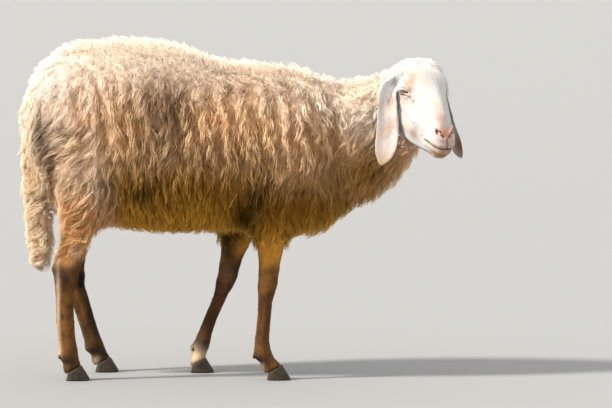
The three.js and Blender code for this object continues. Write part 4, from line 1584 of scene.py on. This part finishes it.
def eyeball(side):
    inner, out, up = (np.array(axis) for axis in eye_axes(side))
    bm = bmesh.new()
    bmesh.ops.create_uvsphere(bm, u_segments=56, v_segments=36, radius=EYE_RADIUS)
    bmesh.ops.rotate(bm, verts=bm.verts, matrix=UP.rotation_difference(Vector(out)).to_matrix())
    for vert in bm.verts:
        rim = math.sqrt(max(0.0, vert.co.length_squared - vert.co.dot(out) ** 2))
        if vert.co.dot(out) > 0:
            vert.co += CORNEA * max(0.0, 1 - (rim / IRIS) ** 2) * Vector(out)
    local = np.array([vert.co for vert in bm.verts])
    bmesh.ops.translate(bm, verts=bm.verts, vec=EYES[side])
    made = piece("eyeball_" + side, bm)
    made.data.shade_smooth()
    carry(made, "gaze", local @ np.array([inner, up, out]).T / MM)
    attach(made, "root")
    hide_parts("eye_" + side)
    return made


eyeballs = [eyeball(side) for side in EYES]
print("cornea:", CORNEA / MM, "mm proud over an iris of", IRIS / MM, "mm")

# %% Lashes
LASH_COUNT, LASH_LONG, LASH_THICK, LASH_TINT = 34, 7 * MM, 0.2 * MM, (0.30, 0.21, 0.14)
LASH_TAPER = np.array([1, 0.9, 0.7, 0.45, 0.15])


def lashes(side):
    """A row of pale curved lashes along the edge of the upper lid."""
    count, levels = LASH_COUNT, len(LASH_TAPER)
    inner, out, up = (np.array(axis) for axis in eye_axes(side))
    angle = np.radians(np.linspace(-58, 50, count))
    lid_edge = out * math.cos(UPPER_EDGE) + up * math.sin(UPPER_EDGE)
    spoke = np.cos(angle)[:, None] * lid_edge + np.sin(angle)[:, None] * inner
    start = np.array(EYES[side]) + (EYE_RADIUS + 0.7 * LID_THICK) * spoke
    share = np.linspace(0, 1, levels)[None, :, None]
    long = (LASH_LONG * RNG.uniform(0.7, 1.1, count))[:, None, None]
    fan = inner * (np.sin(angle)[:, None, None] * 0.25) * share
    bend = spoke[:, None] * share - up * 0.75 * share**1.4 + fan
    lines = start[:, None] + long * bend
    across, upward = across_and_up(lines, np.broadcast_to(up, lines.shape))
    wide = np.tile(LASH_THICK * LASH_TAPER, (count, 1))
    tint = np.tile(LASH_TINT, (count, levels, 1))
    flat = np.tile([0.5, 0.5], (count, 1)) + np.linspace(-0.4, 0.4, count)[:, None]
    return strands("lashes_" + side, lines, across, upward, wide, tint, flat)


lash_rows = [lashes(side) for side in EYES]

# %% [markdown]
# ## Hooves
# Each foot stands on two claws, with two small dewclaws behind the fetlock. The solids give their
# wedge. We round them, press in the level rings that horn lays down as it grows, and leave the
# dewclaws as smooth blunt pegs.

# %% Hooves
CLAW_VOXEL, DEW_VOXEL = 1.7 * MM, 1.2 * MM
RING_GAP, RING_DEEP, DEW_FORWARD = 5.2 * MM, 0.35 * MM, 2.0 * MM


def horn(name, ending, voxel, rounds, ring_deep, forward):
    """All claws or all dewclaws as one piece, rounded and ringed, and moved forward a little."""
    nodes = [leg + ending + side for leg in LEGS for side in ("_inner", "_outer")]
    made = fused(joined(name, [merged(node_name) for node_name in nodes]), voxel)
    places = spread(made, points(made), rounds)
    floor_gap = step(0, 6 * MM, places[:, 2])
    slope = places[:, 2] + 0.25 * places[:, 0] + 0.6 * MM * cloud(places, 90.0)
    ring = np.sin(2 * math.pi * slope / RING_GAP) * floor_gap
    places = places + normals(made) * (ring_deep * ring)[:, None]
    places[:, 2] = np.clip(places[:, 2], 0.0, None)
    places[:, 0] += forward
    put(made, places)
    made.data.shade_smooth()
    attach(made, "root")
    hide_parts(*nodes)
    print(name, len(made.data.polygons), "faces")
    return made


claws = horn("claws", "_claw", CLAW_VOXEL, 4, RING_DEEP, 0.0)
dewclaws = horn("dewclaws", "_dewclaw", DEW_VOXEL, 8, 0.0, DEW_FORWARD)

# %% [markdown]
# ## Finishes
# All coat pieces read the painted colour, so the finishes only add what paint can't: the streaks of the
# fibres, light that goes a little way into wool, and the bump of the hair that is too short to model.

# %% Wool
INTO_WOOL = {"Subsurface_Weight": 0.5, "Subsurface_Scale": 0.008}
wool, wool_shader = finish("wool", 0.8, Specular_IOR_Level=0.04, **INTO_WOOL)
wool_shader.inputs["Subsurface Radius"].default_value = (1.0, 0.75, 0.5)
wool_tint = node(wool, "VertexColor", layer_name=COAT).outputs["Color"]
fibre = node(wool, "Attribute", attribute_name="fibre").outputs["Vector"]
fibres = grain(wool, 2.4, 2.0, 0.5, fibre)
streak = ramp(wool, fibres, (0.36, (0.80, 0.75, 0.70)), (0.58, FULL))
feed(wool, wool_shader.inputs["Base Color"], blend(wool, 1.0, wool_tint, streak, "MULTIPLY"))
bump(wool, wool_shader, fibres, 0.5, 0.5 * MM)
print("nodes in the wool's finish:", len(wool.node_tree.nodes))

# %% Short hair and bare skin
hide, hide_shader = finish("short_hair", 0.7, Sheen_Weight=0.02, Specular_IOR_Level=0.15)
hide_tint = node(hide, "VertexColor", layer_name=COAT).outputs["Color"]
hide_map = node(hide, "TexCoord").outputs["Object"]
laid = node(hide, "Mapping", Vector=hide_map, Scale=(1.0, 1.0, 0.16)).outputs["Vector"]
hair_lines = grain(hide, 900.0, 3.0, 0.6, laid)
fleck = ramp(hide, hair_lines, (0.30, (0.74, 0.70, 0.66)), (0.62, FULL))
feed(hide, hide_shader.inputs["Base Color"], blend(hide, 1.0, hide_tint, fleck, "MULTIPLY"))
bump(hide, hide_shader, hair_lines, 0.35, 0.6 * MM)
print("nodes in the hair's finish:", len(hide.node_tree.nodes))

# %% [markdown]
# The eye's finish draws with distances. The place of each point across the slit and up it is divided by
# the half widths of an oval, and the length of what is left is 1 on that oval. A flat oval gives the
# pupil, and a round one the rings of the iris.

# %% Eye
PUPIL_OVAL, IRIS_OVAL, PUPIL_TINT = (3.9, 1.5), (10, 10), (0.006, 0.006, 0.008, 1)
eye, eye_shader = finish("eye", 0.12, Coat_Weight=1.0, Coat_Roughness=0.02)
gaze_point = node(eye, "Attribute", attribute_name="gaze").outputs["Vector"]


def share_of_oval(across, up):
    """How far out each point lies in an oval of these half widths, in millimetres: 1 on its rim."""
    scaled = node(eye, "VectorMath", operation="MULTIPLY")
    feed(eye, scaled.inputs[0], gaze_point)
    feed(eye, scaled.inputs[1], (1 / across, 1 / up, 0))
    length = node(eye, "VectorMath", operation="LENGTH")
    feed(eye, length.inputs[0], scaled.outputs[0])
    return length.outputs["Value"]


in_pupil, in_iris = share_of_oval(*PUPIL_OVAL), share_of_oval(*IRIS_OVAL)
iris = ramp(
    eye,
    in_iris,
    (0.0, (0.12, 0.062, 0.018)),
    (0.55, (0.22, 0.12, 0.036)),
    (0.80, (0.060, 0.032, 0.015)),
    (0.90, (0.30, 0.20, 0.13)),
    (1.0, (0.45, 0.33, 0.25)),
)
around_pupil = ramp(eye, in_pupil, (0.88, BLACK), (1.0, FULL))
feed(eye, eye_shader.inputs["Base Color"], blend(eye, around_pupil, PUPIL_TINT, iris))
print("nodes in the eye's finish:", len(eye.node_tree.nodes))

# %% [markdown]
# Horn is nearly black, streaked from the coronet down and dusty in patches. The streaks come from noise
# that is stretched upright, and the dust from a second, coarse noise that mixes in a paler brown.

# %% Horn
DUST_TINT = (0.060, 0.040, 0.023, 1)
hoof, hoof_shader = finish("horn", 0.55, Specular_IOR_Level=0.3)
hoof_map = node(hoof, "TexCoord").outputs["Object"]
upright = node(hoof, "Mapping", Vector=hoof_map, Scale=(1, 1, 0.12)).outputs["Vector"]
streaks = grain(hoof, 260.0, 4.0, 0.6, upright)
horn_tone = ramp(
    hoof,
    streaks,
    (0.3, (0.014, 0.009, 0.006)),
    (0.55, (0.030, 0.020, 0.013)),
    (0.75, (0.055, 0.038, 0.025)),
)
dust = ramp(hoof, grain(hoof, 45.0, 5.0), (0.45, BLACK), (0.75, FULL))
feed(hoof, hoof_shader.inputs["Base Color"], blend(hoof, dust, horn_tone, DUST_TINT))
bump(hoof, hoof_shader, streaks, 0.3, 0.4 * MM)
print("nodes in the horn's finish:", len(hoof.node_tree.nodes))

# %% [markdown]
# Last, every piece gets its finish. The skin takes the place of the solids of flesh, which are hidden,
# and the wool, hair and lashes lie over it. The sheep stands still, so all of them ride on its one body.

# %% Dress the pieces
FLESH = ["trunk", "neck", "tail", "head", *EAR_NODES]
FLESH += [name for leg in LEGS for name in (TOPS[leg], leg + "_cannon", leg + "_pastern")]
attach(skin, "root")
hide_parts(*FLESH)
DRESSED = [
    (fleece, wool, "fleece"),
    (hairs[:2] + lash_rows, hide, "face_hair"),
    (hairs[2:], hide, "leg_hair"),
]
for group, material, slot in DRESSED:
    for made in group:
        made.data.materials.append(material)
        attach(made, "root")
for made, material in [(skin, hide), (claws, hoof), (dewclaws, hoof), *[(ball, eye) for ball in eyeballs]]:
    made.data.materials.clear()
    made.data.materials.append(material)
print("coat pieces:", sum(len(group) for group, _, _ in DRESSED))
